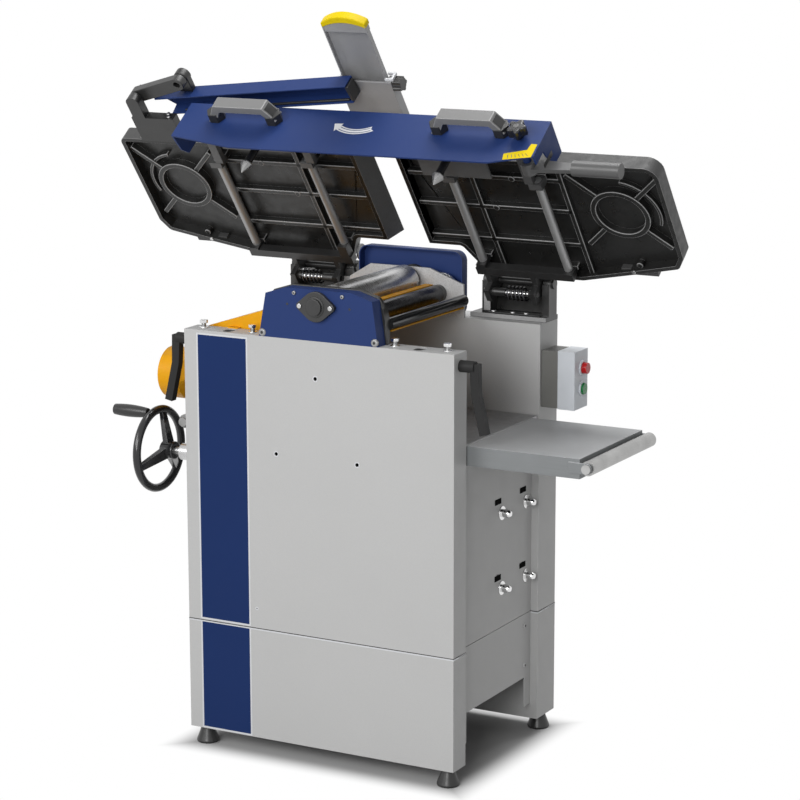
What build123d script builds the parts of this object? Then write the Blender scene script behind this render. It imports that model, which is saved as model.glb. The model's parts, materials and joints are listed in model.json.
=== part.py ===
from build123d import *
from math import cos, pi, radians, sin
import os

os.makedirs("parts", exist_ok=True)

# Combination planer thicknesser with both tables tilted up, in millimetres
# The origin is on the floor under the middle of the cabinet
# X runs along the feed, Y to the back and Z up

# Cabinet
cabinet_width = 530.0
cabinet_depth = 397.0
cabinet_top = 755.0
seam_height = 233.0
stand_bottom = 32.0
front_box_depth = 45.0
rear_box_depth = 71.4
sheet = 2.0
panel_inset = 14.0
panel_foot = 28.0
arch_height = 115.0
arch_front_margin = 30.5
arch_back_margin = 24.1
foot_radius = 20.0
foot_inset = 21.0
bolt_radius = 4.0
half_width = cabinet_width / 2
front_y = -cabinet_depth / 2
back_y = cabinet_depth / 2
throat_front = front_y + front_box_depth
throat_back = back_y - rear_box_depth
box_mid_y = front_y + front_box_depth / 2
panel_x = half_width - panel_inset

# Fits
fit_gap = 0.05
loose_gap = 1.0
wall_gap = 3.0

# Cutter unit
cutter_x = 4.0
cutter_height = 815.0
cutter_radius = 30.5
cutter_front = -145.0
cutter_back = 110.0
shaft_radius = 12.5
knife_count = 3
roller_offset = 63.0
roller_height = 797.0
roller_radius = 15.5
roller_axle_radius = 7.0
end_plate_thick = 3.0
end_flange_depth = 27.0
bearing_block_thick = 17.0
rear_plate_thick = 5.0
rear_plate_front = throat_back - rear_plate_thick - 0.1
rear_foot_depth = 11.0
rear_foot_thick = 3.0
guard_plate_back = throat_back + 22.9
cap_reach = 14.5

# Tilting tables
hinge_y = 180.0
hinge_height = 819.5
tilt = 52.5
surface_above_hinge = cutter_height + cutter_radius - hinge_height
rim_depth = 29.0
rim_width = 8.0
table_skin = 10.0
table_half_length = 530.5
table_reach = 300.0
table_rear = 18.5
table_corner = 25.0
table_gap = 42.0
lip_gap = 22.0
lip_run = 8.0
lip_thick = 2.0
notch_depth = 84.0
notch_end = 107.0
rear_edge_start = 140.0
rear_edge_end = 325.0
outer_slope = ((75.5, 50.0), (13.5, 66.0), (0.0, 92.0))
rib_width = 6.0
pocket_inset = 98.5
pocket_reach = 184.0
pocket_radius = 50.0
pocket_wall = 10.0
pocket_ring = (24.0, 16.0)
tube_radius = 7.75
tube_drop = 9.0
bar_reach = 400.0
bar_sheet = 3.0
depth_travel = 3.0

# Thicknessing table
bed_height = 593.0
bed_depth = 35.0
bed_skin = 12.0
lift_down = 5.0
lift_up = 30.0
screw_radius = 9.0
screw_x = -45.0
crank_height = 529.0
crank_radius = 8.0

# Handwheel
wheel_offset = 72.0
wheel_x = -half_width - wheel_offset
wheel_radius = 72.0
wheel_rim_radius = 6.0
grip_length = 69.0
grip_radius = 11.0
grip_angle = radians(108.4)
grip_y = box_mid_y + wheel_radius * cos(grip_angle)
grip_z = crank_height + wheel_radius * sin(grip_angle)

# Drive
motor_height = 130.0
motor_radius = 68.0
motor_pulley_radius = 38.0
cutter_pulley_radius = 22.0
belt_thick = 4.0
belt_width = 8.0
belt_y = 142.0
chain_y = 131.5
chain_width = 5.0
sprocket_radius = 31.5


# Planes of the tilted tables: x along the feed, y to the hinge side, z out of the working surface
tables = Plane((0, hinge_y, hinge_height), x_dir=(1, 0, 0),
               z_dir=(0, sin(radians(tilt)), cos(radians(tilt))))


def level(height):
    """Plane parallel to the working surface."""
    return tables.offset(height)


def fore(reach, x=0.0, height=0.0):
    """Plane square to the tables' depth, its normal pointing to the operator."""
    origin = tables.from_local_coords(Vector(x, -reach, height))
    return Plane(origin, x_dir=(1, 0, 0), z_dir=-tables.y_dir)


def across(x, reach=0.0, height=0.0):
    """Plane square to the feed in the tables' frame: x to the hinge side, y out of the surface."""
    origin = tables.from_local_coords(Vector(x, -reach, height))
    return Plane(origin, x_dir=tables.y_dir, z_dir=(1, 0, 0))


def out_of(x, reach, height):
    """Plane at a point under or over the tables, its normal out of the working surface."""
    return Plane(tables.from_local_coords(Vector(x, -reach, height)), x_dir=(1, 0, 0), z_dir=tables.z_dir)


def sideways(x):
    """Upright plane square to the feed, its normal along +X."""
    return Plane((x, 0, 0), x_dir=(0, 1, 0), z_dir=(1, 0, 0))


def save(builder, name):
    """Label a finished piece and write it."""
    builder.part.label = name
    export_step(builder.part, f"parts/{name}.step")


def block(x0, x1, y0, y1, z0, z1, mode=Mode.ADD):
    """Box between two corners in the machine's frame."""
    with BuildSketch(Plane.XY.offset(z0)) as base:
        with Locations(((x0 + x1) / 2, (y0 + y1) / 2)):
            Rectangle(abs(x1 - x0), abs(y1 - y0))
    extrude(base.sketch, amount=z1 - z0, mode=mode)


def table_block(x0, x1, v0, v1, w0, w1, mode=Mode.ADD):
    """Box between two corners in the tables' frame, v measured forward from the hinge."""
    with BuildSketch(level(w0)) as base:
        with Locations(((x0 + x1) / 2, -(v0 + v1) / 2)):
            Rectangle(abs(x1 - x0), abs(v1 - v0))
    extrude(base.sketch, amount=w1 - w0, mode=mode)


def rod(plane, radius, length, mode=Mode.ADD):
    """Round bar from the plane's origin along its normal."""
    with BuildSketch(plane) as end:
        Circle(radius)
    extrude(end.sketch, amount=length, mode=mode)


def along_y(x, y, z):
    """Plane at a point with its normal along +Y."""
    return Plane((x, y, z), x_dir=(1, 0, 0), z_dir=(0, 1, 0))


def along_x(x, y, z):
    """Plane at a point with its normal along +X."""
    return Plane((x, y, z), x_dir=(0, 1, 0), z_dir=(1, 0, 0))


def upright(x, y, z):
    """Plane at a point with its normal along +Z."""
    return Plane((x, y, z), x_dir=(1, 0, 0), z_dir=(0, 0, 1))


# Openings shared by several pieces
bolt_hole = bolt_radius + 0.5
rest_bolt_insets = (25.0, 125.0)
rest_bolt_x = [side * (half_width - inset) for side in (-1, 1) for inset in rest_bolt_insets]
rest_bolt_y = box_mid_y + 2.5
pin_x = (-185.0, 190.0)
pin_slot_length = 28.0
pin_slot_width = 18.0
pin_slot_y = box_mid_y - 1.0
lever_height = 733.0
stud_radius = 6.0
front_hole_radius = 3.5
front_holes = ((-1.0, cabinet_top - 65.0), (-80.0, cabinet_top - 204.0), (80.0, cabinet_top - 206.0))
arm_x0 = -15.0
arm_x1 = 55.0
arm_bottom = 500.0
slot_clear = 6.0
bed_bottom = bed_height - bed_depth
panel_top = bed_bottom - lift_down - loose_gap
belt_slot_x0 = cutter_x - cutter_pulley_radius - 12.0
belt_slot_x1 = cutter_x + cutter_pulley_radius + 12.0

# Front box of the stand
with BuildPart() as stand_front_box:
    block(-half_width, half_width, front_y, throat_front, stand_bottom, seam_height)
    block(-half_width + sheet, half_width - sheet, front_y + sheet, throat_front - sheet,
          stand_bottom + sheet, seam_height, Mode.SUBTRACT)
    with Locations(*[(side * (half_width - foot_inset), box_mid_y, stand_bottom) for side in (-1, 1)]):
        Hole(bolt_hole + 1, depth=2 * sheet)
save(stand_front_box, "stand_front_box")

# Rear box of the stand, open above for the belt
motor_hole_radius = 24.0
with BuildPart() as stand_rear_box:
    block(-half_width, half_width, throat_back, back_y, stand_bottom, seam_height)
    block(-half_width + sheet, half_width - sheet, throat_back + sheet, back_y - sheet,
          stand_bottom + sheet, seam_height, Mode.SUBTRACT)
    with Locations(*[(side * (half_width - foot_inset), back_y - foot_inset,
                      stand_bottom) for side in (-1, 1)]):
        Hole(bolt_hole + 1, depth=2 * sheet)
    rod(along_y(cutter_x, throat_back - 1, motor_height), motor_hole_radius, sheet + 2, Mode.SUBTRACT)
save(stand_rear_box, "stand_rear_box")

# Front box of the cabinet, with the lifting screw inside
with BuildPart() as cabinet_front_box:
    block(-half_width, half_width, front_y, throat_front, seam_height, cabinet_top)
    block(-half_width + sheet, half_width - sheet, front_y + sheet, throat_front - sheet,
          seam_height, cabinet_top - sheet, Mode.SUBTRACT)
    block(arm_x0 - slot_clear, arm_x1 + slot_clear, throat_front - sheet - 1, throat_front + 1,
          arm_bottom - lift_down - slot_clear, bed_bottom + lift_up + slot_clear, Mode.SUBTRACT)
    for x in rest_bolt_x:
        rod(upright(x, rest_bolt_y, cabinet_top - sheet - 1), bolt_hole, sheet + 2, Mode.SUBTRACT)
    for x in pin_x:
        with BuildSketch(upright(x, pin_slot_y, cabinet_top - sheet - 1)):
            SlotOverall(pin_slot_length, pin_slot_width, rotation=90)
        extrude(amount=sheet + 2, mode=Mode.SUBTRACT)
    for x, z in front_holes:
        rod(along_y(x, front_y - 1, z), front_hole_radius, sheet + 2, Mode.SUBTRACT)
    rod(along_x(-half_width - 1, box_mid_y, lever_height), stud_radius + loose_gap, cabinet_width + 2,
        Mode.SUBTRACT)
    rod(along_x(-half_width - 1, box_mid_y, crank_height), crank_radius + loose_gap, sheet + 2,
        Mode.SUBTRACT)
save(cabinet_front_box, "cabinet_front_box")

# Rear box of the cabinet, with the belt running up inside
with BuildPart() as cabinet_rear_box:
    block(-half_width, half_width, throat_back, back_y, seam_height, cabinet_top)
    block(-half_width + sheet, half_width - sheet, throat_back + sheet, back_y - sheet,
          seam_height, cabinet_top - sheet, Mode.SUBTRACT)
    block(belt_slot_x0, belt_slot_x1, belt_y - belt_width, belt_y + belt_width,
          cabinet_top - sheet - 1, cabinet_top + 1, Mode.SUBTRACT)
save(cabinet_rear_box, "cabinet_rear_box")

# Recessed side panels of the stand and of the cabinet
arch_front = throat_front + arch_front_margin
arch_back = throat_back - arch_back_margin
panel_stud_y = (9.0, 105.0)
panel_stud_z = (305.0, 440.0)
panel_hole_rise = 23.0
panel_hole_shift = -14.0
panel_hole_size = 9.0
with BuildPart() as side_panels:
    for side in (-1, 1):
        outer = side * panel_x
        inner = side * (panel_x - sheet)
        block(inner, outer, throat_front, throat_back, stand_bottom + panel_foot, seam_height)
        block(inner, outer, throat_front, throat_back, seam_height + 1, panel_top)
        block(inner - side, outer + side, arch_front, arch_back, stand_bottom, arch_height, Mode.SUBTRACT)
    for y in panel_stud_y:
        for z in panel_stud_z:
            rod(along_x(panel_x - sheet - 1, y, z), bolt_hole, sheet + 2, Mode.SUBTRACT)
            block(panel_x - sheet - 1, panel_x + 1, y + panel_hole_shift - panel_hole_size / 2,
                  y + panel_hole_shift + panel_hole_size / 2, z + panel_hole_rise - panel_hole_size / 2,
                  z + panel_hole_rise + panel_hole_size / 2, Mode.SUBTRACT)
save(side_panels, "side_panels")

# Levelling feet with threaded stems
foot_pad_height = 10.0
foot_nut_height = 8.0
with BuildPart() as feet:
    for x in (foot_inset - half_width, half_width - foot_inset):
        for y in (box_mid_y, back_y - foot_inset):
            rod(upright(x, y, 0), foot_radius, foot_pad_height)
            rod(upright(x, y, foot_pad_height), bolt_radius + 1, stand_bottom + 12 - foot_pad_height)
            with BuildSketch(upright(x, y, stand_bottom - foot_nut_height)):
                RegularPolygon(9, 6)
            extrude(amount=foot_nut_height)
save(feet, "feet")

# Bolts and screws that stay on the cabinet: panel studs, table rest bolts and end plate screws
rest_bolt_top = cabinet_top + 14.0
rest_bolt_root = 12.0
rest_nut_half = 7.5
rest_nut_thick = 5.0
rest_head_thick = 6.0
stud_reach = 16.0
stud_root = 8.0
stud_nut_half = 8.0
stud_nut_thick = 6.0
stud_cap_radius = 6.5
stud_cap_length = 9.0
plate_screw_head = 3.0
plate_screw_depth = 2.5
plate_screw_spots = ((-105.0, 762.0, 7.0), (115.0, 762.0, 7.0), (-41.0, 835.0, 4.0), (53.0, 835.0, 4.0))
with BuildPart() as cabinet_fasteners:
    for x in rest_bolt_x:
        rod(upright(x, rest_bolt_y, cabinet_top - rest_bolt_root), bolt_radius,
            rest_bolt_top - cabinet_top + rest_bolt_root)
        for z, thick in ((cabinet_top, rest_nut_thick), (rest_bolt_top - rest_head_thick, rest_head_thick)):
            with BuildSketch(upright(x, rest_bolt_y, z)):
                RegularPolygon(rest_nut_half, 6)
            extrude(amount=thick)
    for y in panel_stud_y:
        for z in panel_stud_z:
            rod(along_x(panel_x - stud_root, y, z), bolt_radius, stud_reach + stud_root)
            with BuildSketch(along_x(panel_x, y, z)):
                RegularPolygon(stud_nut_half, 6)
            extrude(amount=stud_nut_thick)
            rod(along_x(panel_x + stud_reach, y, z), stud_cap_radius, stud_cap_length)
    for x, z, radius in plate_screw_spots:
        rod(along_y(x, front_y - plate_screw_head, z), radius, plate_screw_head)
        rod(along_y(x, front_y, z), bolt_radius / 2, plate_screw_depth)
save(cabinet_fasteners, "cabinet_fasteners")

# Blue front plate of the cutter unit, a folded sheet
plate_outline = ((-116, 0), (-102, 76), (-64, 88), (66, 88), (106, 76), (117, 0))
plate_inside = ((-112.9, 0), (-99.5, 73.5), (-63.5, 85), (65.5, 85), (103.5, 73.5), (113.9, 0))


def plate(y, outline, thick, mode=Mode.ADD):
    """Plate of the cutter unit, from its outline, in front of an upright plane."""
    with BuildSketch(Plane((cutter_x, y, cabinet_top), x_dir=(1, 0, 0), z_dir=(0, -1, 0))) as face:
        with BuildLine():
            Polyline(*outline, close=True)
        make_face()
    extrude(face.sketch, amount=thick, mode=mode)


with BuildPart() as front_end_plate:
    plate(front_y + end_flange_depth, plate_outline, end_flange_depth)
    plate(front_y + end_flange_depth, plate_inside, end_flange_depth - end_plate_thick, Mode.SUBTRACT)
    for x, z, radius in plate_screw_spots:
        rod(along_y(x, front_y - 1, z), bolt_radius / 2, end_plate_thick + 2, Mode.SUBTRACT)
    rod(along_y(cutter_x, front_y - 1, cutter_height), shaft_radius + 8, end_plate_thick + 2, Mode.SUBTRACT)
save(front_end_plate, "front_end_plate")

# Black bearing block behind the front plate
block_front = front_y + end_flange_depth
block_outline = ((-114, 0), (-104, 74), (-64, 87), (70, 87), (100, 76), (112, 60), (116, 40), (116, 0))
bearing_radius = 24.0
bearing_width = 15.0
with BuildPart() as front_bearing_block:
    plate(block_front + bearing_block_thick, block_outline, bearing_block_thick)
    rod(along_y(cutter_x, block_front - 1, cutter_height), bearing_radius, bearing_block_thick + 2,
        Mode.SUBTRACT)
save(front_bearing_block, "front_bearing_block")
block_back = block_front + bearing_block_thick

# Grey rear end plate, with a foot on the rear box
rear_foot_half = 98.0
rear_outline = ((-120, 0), (-120, 59), (-77, 85), (44, 85), (112, 60), (114, 0))
with BuildPart() as rear_end_plate:
    plate(rear_plate_front + rear_plate_thick, rear_outline, rear_plate_thick)
    rod(along_y(cutter_x, rear_plate_front - 1, cutter_height), bearing_radius, rear_plate_thick + 2,
        Mode.SUBTRACT)
    for side in (-1, 1):
        rod(along_y(cutter_x + side * roller_offset, rear_plate_front - 1, roller_height),
            roller_axle_radius + loose_gap, rear_plate_thick + 2, Mode.SUBTRACT)
    block(cutter_x - rear_foot_half, cutter_x + rear_foot_half, rear_plate_front,
          rear_plate_front + rear_foot_depth, cabinet_top, cabinet_top + rear_foot_thick)
save(rear_end_plate, "rear_end_plate")

# Blue guard plate behind it, folded forward along its edges
guard_half_width = 105.0
guard_rise = 117.0
guard_fold = 20.0
with BuildPart() as rear_guard_plate:
    with BuildSketch(Plane((cutter_x, guard_plate_back, cabinet_top), x_dir=(1, 0, 0),
                           z_dir=(0, -1, 0))) as guard_face:
        with Locations((0, guard_rise / 2)):
            Rectangle(2 * guard_half_width, guard_rise)
        fillet(guard_face.vertices().group_by(Axis.Z)[-1], 18)
    extrude(amount=guard_fold)
    with BuildSketch(Plane((cutter_x, guard_plate_back - sheet, cabinet_top), x_dir=(1, 0, 0),
                           z_dir=(0, -1, 0))) as guard_inside:
        with Locations((0, (guard_rise - sheet) / 2)):
            Rectangle(2 * (guard_half_width - sheet), guard_rise - sheet)
        fillet(guard_inside.vertices().group_by(Axis.Z)[-1], 16)
    extrude(amount=guard_fold, mode=Mode.SUBTRACT)
save(rear_guard_plate, "rear_guard_plate")

# Bearing units: diamond flange with its cap at the front, bearings in the block and in the rear plate
flange_tip = 37.0
flange_thick = 8.0
cap_radius = 14.5
with BuildPart() as bearing_units:
    with BuildSketch(Plane((cutter_x, front_y, cutter_height), x_dir=(1, 0, 0), z_dir=(0, -1, 0))):
        Circle(26)
        with Locations((flange_tip - 7, 0), (7 - flange_tip, 0)):
            Circle(7)
        make_hull()
    extrude(amount=flange_thick)
    rod(along_y(cutter_x, front_y - cap_reach, cutter_height), cap_radius, cap_reach)
    rod(along_y(cutter_x, block_front, cutter_height), bearing_radius, bearing_width)
    rod(along_y(cutter_x, block_front - 1, cutter_height), shaft_radius + fit_gap, bearing_width + 2,
        Mode.SUBTRACT)
    rod(along_y(cutter_x, rear_plate_front - 6, cutter_height), bearing_radius, bearing_width - 4)
    rod(along_y(cutter_x, rear_plate_front - 7, cutter_height), shaft_radius + fit_gap, bearing_width,
        Mode.SUBTRACT)
save(bearing_units, "bearing_units")

# Journal blocks of the two feed rollers, on the bearing block and on the rear plate
journal_depth = 14.0
journal_half_width = 16.0
journal_drop = 14.0
journal_rise = 12.0
with BuildPart() as journal_blocks:
    for side in (-1, 1):
        x = cutter_x + side * roller_offset
        for y0, y1 in ((block_back, block_back + journal_depth),
                       (rear_plate_front - journal_depth, rear_plate_front)):
            block(x - journal_half_width, x + journal_half_width, y0, y1, roller_height - journal_drop,
                  roller_height + journal_rise)
            rod(along_y(x, y0 - 1, roller_height), roller_axle_radius + fit_gap, journal_depth + 2,
                Mode.SUBTRACT)
save(journal_blocks, "journal_blocks")

# Round tie bar between the bearing block and the rear plate
tie_x = 116.0
tie_height = 787.0
tie_radius = 10.5
with BuildPart() as tie_bar:
    rod(along_y(tie_x, block_back, tie_height), tie_radius, rear_plate_front - block_back)
save(tie_bar, "tie_bar")

# Cutterblock with its shaft and belt pulley
knife_slot_width = 9.0
knife_slot_depth = 12.0
with BuildPart() as cutterblock:
    rod(along_y(cutter_x, cutter_front, cutter_height), cutter_radius - 1, cutter_back - cutter_front)
    rod(along_y(cutter_x, block_front - 6, cutter_height), shaft_radius,
        belt_y + belt_width - block_front + 4)
    with BuildSketch(along_y(cutter_x, cutter_front - 1, cutter_height)):
        with PolarLocations(cutter_radius - knife_slot_depth / 2, knife_count):
            Rectangle(knife_slot_depth, knife_slot_width)
    extrude(amount=cutter_back - cutter_front + 2, mode=Mode.SUBTRACT)
    rod(along_y(cutter_x, belt_y - belt_width / 2, cutter_height), cutter_pulley_radius, belt_width)
save(cutterblock, "cutterblock")

# Planer knives and the wedge bars that hold them
knife_thick = 3.0
with BuildPart() as planer_knives:
    with BuildSketch(along_y(cutter_x, cutter_front + 1, cutter_height)):
        with PolarLocations(0, knife_count):
            with Locations((cutter_radius - knife_slot_depth / 2, (knife_thick - knife_slot_width) / 2)):
                Rectangle(knife_slot_depth, knife_thick)
            with Locations((cutter_radius - 1 - knife_slot_depth / 2, knife_thick / 2)):
                Rectangle(knife_slot_depth - 2, knife_slot_width - knife_thick)
    extrude(amount=cutter_back - cutter_front - 2)
save(planer_knives, "planer_knives")

# Feed rollers with their axles and chain sprockets
for side, roller_name in ((1, "infeed_roller"), (-1, "outfeed_roller")):
    roller_x = cutter_x + side * roller_offset
    with BuildPart() as feed_roller:
        rod(along_y(roller_x, block_back + journal_depth + loose_gap, roller_height), roller_radius,
            rear_plate_front - block_back - 2 * (journal_depth + loose_gap))
        rod(along_y(roller_x, block_back + loose_gap, roller_height), roller_axle_radius,
            chain_y + chain_width / 2 - block_back - loose_gap)
        rod(along_y(roller_x, chain_y - chain_width / 2, roller_height), sprocket_radius, chain_width)
    save(feed_roller, roller_name)

# Chain round the two sprockets
chain_gap = 0.4
chain_thick = 4.0
with BuildPart() as feed_chain:
    for radius, mode in ((sprocket_radius + chain_gap + chain_thick, Mode.ADD),
                         (sprocket_radius + chain_gap, Mode.SUBTRACT)):
        with BuildSketch(along_y(cutter_x, chain_y - chain_width / 2, roller_height)):
            with Locations((roller_offset, 0), (-roller_offset, 0)):
                Circle(radius)
            make_hull()
        extrude(amount=chain_width, mode=mode)
save(feed_chain, "feed_chain")

# Hinge brackets on the rear box: base plates, cheeks and the pins they hold
hinge_pin_radius = 6.0
cheek_radius = 14.0
cheek_depth = 50.0
inner_cheek = (half_width - 132.0, half_width - 117.0)
outer_cheek = (half_width - 14.0, half_width)
hinge_base = (half_width - 149.0, half_width)
hinge_base_thick = 8.0
base_top = cabinet_top + hinge_base_thick
hinge_base_front = 30.0
hinge_head = 3.0
hinge_head_radius = 9.0
with BuildPart() as hinge_brackets:
    for side in (-1, 1):
        block(side * hinge_base[0], side * hinge_base[1], hinge_y - hinge_base_front, back_y, cabinet_top,
              base_top)
        for near, far in (inner_cheek, outer_cheek):
            with BuildSketch(sideways(min(side * near, side * far))):
                with Locations((hinge_y - 2, (base_top + hinge_height) / 2)):
                    Rectangle(2 * cheek_radius + 4, hinge_height - base_top)
                with Locations((hinge_y, hinge_height)):
                    Circle(cheek_radius)
                with Locations((hinge_y, hinge_height)):
                    Circle(hinge_pin_radius + fit_gap, mode=Mode.SUBTRACT)
            extrude(amount=far - near)
    for side in (-1, 1):
        pin_start = min(side * (inner_cheek[0] - hinge_head), side * (outer_cheek[1] + hinge_head))
        pin_length = outer_cheek[1] - inner_cheek[0] + 2 * hinge_head
        rod(along_x(pin_start, hinge_y, hinge_height), hinge_pin_radius, pin_length)
        for near, far in (inner_cheek, outer_cheek):
            rod(along_x(min(side * near, side * far), hinge_y, hinge_height),
                hinge_pin_radius + 2 * fit_gap,
                far - near)
        for head_start in (pin_start, pin_start + pin_length - hinge_head):
            rod(along_x(head_start, hinge_y, hinge_height), hinge_head_radius, hinge_head)
save(hinge_brackets, "hinge_brackets")

# Thicknessing table with its ribs
bed_half_length = half_width - wall_gap
bed_front = throat_front + wall_gap
bed_back = throat_back - wall_gap
bed_rib_count = 5
with BuildPart() as thicknesser_table:
    block(-bed_half_length, bed_half_length, bed_front, bed_back, bed_bottom, bed_height)
    rib_pitch = (2 * bed_half_length - rim_width) / (bed_rib_count + 1)
    for index in range(bed_rib_count + 1):
        x0 = -bed_half_length + rim_width + index * rib_pitch
        block(x0, x0 + rib_pitch - rim_width, bed_front + rim_width, bed_back - rim_width,
              bed_bottom - 1, bed_height - bed_skin, Mode.SUBTRACT)
save(thicknesser_table, "thicknesser_table")

# Bracket that carries the table on the lifting screw, guided by two rods
carriage_half = 14.0
carriage_top = 645.0
nut_bottom = 612.0
rod_radius = 8.0
guide_x = (0.0, 40.0)
with BuildPart() as lift_bracket:
    block(arm_x0, arm_x1, throat_front - 4, bed_front + 110, arm_bottom, bed_bottom)
    block(arm_x0 + 8, arm_x1 - 8, bed_front + 20, bed_front + 111, arm_bottom - 1, bed_bottom - 10,
          Mode.SUBTRACT)
    block(arm_x0 - 5, arm_x1, box_mid_y - carriage_half, box_mid_y + carriage_half, arm_bottom,
          carriage_top)
    block(arm_x0, arm_x1, box_mid_y + carriage_half, throat_front, arm_bottom, bed_bottom)
    block(screw_x - 15, arm_x0, box_mid_y - carriage_half, box_mid_y + carriage_half, nut_bottom,
          carriage_top)
    for x in guide_x:
        rod(upright(x, box_mid_y, arm_bottom - 1), rod_radius + fit_gap, carriage_top - arm_bottom + 2,
            Mode.SUBTRACT)
    rod(upright(screw_x, box_mid_y, nut_bottom - 1), screw_radius + fit_gap,
        carriage_top - nut_bottom + 2, Mode.SUBTRACT)
save(lift_bracket, "lift_bracket")

# Guide rods and the foot block that also carries the screw
foot_block = (430.0, 450.0)
with BuildPart() as guide_rods:
    block(screw_x - 20, guide_x[1] + 20, front_y + sheet, box_mid_y + carriage_half, *foot_block)
    for x in guide_x:
        rod(upright(x, box_mid_y, foot_block[1]), rod_radius, cabinet_top - sheet - foot_block[1])
    rod(upright(screw_x, box_mid_y, foot_block[0] - 1), screw_radius + fit_gap,
        foot_block[1] - foot_block[0] + 2,
        Mode.SUBTRACT)
save(guide_rods, "guide_rods")

# Lifting screw with its bevel gear, driven by the crank shaft's bevel gear
gear_radius = 14.0
gear_depth = 8.0
gear_gap = 0.5
with BuildPart() as lift_screw:
    rod(upright(screw_x, box_mid_y, foot_block[0]), screw_radius, cabinet_top - sheet - 4 - foot_block[0])
    rod(upright(screw_x, box_mid_y, crank_height - 12), screw_radius + 1, 24, Mode.SUBTRACT)
    rod(upright(screw_x, box_mid_y, crank_height - 12), 4, 24)
    with BuildSketch(Plane((screw_x, box_mid_y, crank_height), x_dir=(1, 0, 0), z_dir=(0, -1, 0))):
        with BuildLine():
            Polyline((0, -gear_radius - gear_depth / 2),
                     (gear_radius - gear_gap, -gear_radius - gear_depth / 2),
                     (gear_radius - gear_gap, -gear_radius - gear_gap),
                     (gear_radius - gear_depth, gear_depth - gear_radius - 2 * gear_gap),
                     (0, gear_depth - gear_radius - 2 * gear_gap), close=True)
        make_face()
    revolve(axis=Axis((screw_x, box_mid_y, 0), (0, 0, 1)))
save(lift_screw, "lift_screw")

with BuildPart() as crank_shaft:
    rod(along_x(wheel_x + 22, box_mid_y, crank_height), crank_radius,
        screw_x - gear_radius - 2 - wheel_x - 22)
    with BuildSketch(Plane((screw_x, box_mid_y, crank_height), x_dir=(1, 0, 0), z_dir=(0, -1, 0))):
        with BuildLine():
            Polyline((-gear_radius - gear_depth / 2, 0),
                     (-gear_radius - gear_depth / 2, gear_radius - gear_gap),
                     (-gear_radius - gear_gap, gear_radius - gear_gap),
                     (gear_depth - gear_radius - 2 * gear_gap, gear_radius - gear_depth),
                     (gear_depth - gear_radius - 2 * gear_gap, 0), close=True)
        make_face()
    revolve(axis=Axis((0, box_mid_y, crank_height), (1, 0, 0)))
    rod(along_x(-half_width - 22, box_mid_y, crank_height), 15, 21)
    rod(along_x(-half_width - 22, box_mid_y, crank_height), crank_radius, 21)
save(crank_shaft, "crank_shaft")

# Handwheel: dished, with three flat spokes and the axle of its grip
hub_length = 26.0
hub_radius = 16.0
hub_start = 10.0
spoke_dish = 16.0
spoke_width = 16.0
spoke_count = 3
spoke_thick = 8.0
first_spoke = 125.0
rim_sides = 16
axle_radius = 4.0
grip_clear = 7.0
wheel_axis = Axis((wheel_x, box_mid_y, crank_height), (1, 0, 0))
wheel_section = Plane((wheel_x, box_mid_y, crank_height), x_dir=(1, 0, 0), z_dir=(0, -1, 0))
with BuildPart() as handwheel:
    with BuildSketch(wheel_section):
        with BuildLine():
            Polyline((spoke_dish, 0), (spoke_dish, hub_radius), (-spoke_thick / 2, wheel_radius - 2),
                     (spoke_thick / 2, wheel_radius - 2), (spoke_dish + spoke_thick, hub_radius),
                     (spoke_dish + spoke_thick, 0), close=True)
        make_face()
    revolve(axis=wheel_axis)
    with BuildSketch(along_x(wheel_x - hub_start, box_mid_y, crank_height)):
        with PolarLocations(wheel_radius / 2, spoke_count, start_angle=first_spoke):
            Rectangle(wheel_radius, spoke_width)
    extrude(amount=2 * hub_length, mode=Mode.INTERSECT)
    rod(along_x(wheel_x + hub_start, box_mid_y, crank_height), hub_radius, hub_length)
    with BuildSketch(wheel_section):
        with Locations((0, wheel_radius)):
            RegularPolygon(wheel_rim_radius, rim_sides)
    revolve(axis=wheel_axis)
    rod(along_x(wheel_x + hub_start - 1, box_mid_y, crank_height), crank_radius + fit_gap, hub_length + 2,
        Mode.SUBTRACT)
    rod(along_x(wheel_x - grip_clear - grip_length, grip_y, grip_z), axle_radius - fit_gap,
        grip_length + grip_clear)
save(handwheel, "handwheel")

with BuildPart() as crank_grip:
    with BuildSketch(Plane((wheel_x - grip_clear, grip_y, grip_z), x_dir=(-1, 0, 0), z_dir=(0, -1, 0))):
        with BuildLine():
            Line((0, axle_radius), (0, grip_radius - 3))
            Spline((0, grip_radius - 3), (grip_length * 0.45, grip_radius),
                   (grip_length, grip_radius - 1.5))
            Line((grip_length, grip_radius - 1.5), (grip_length, axle_radius))
            Line((grip_length, axle_radius), (0, axle_radius))
        make_face()
    revolve(axis=Axis((0, grip_y, grip_z), (1, 0, 0)))
save(crank_grip, "crank_grip")

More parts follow.
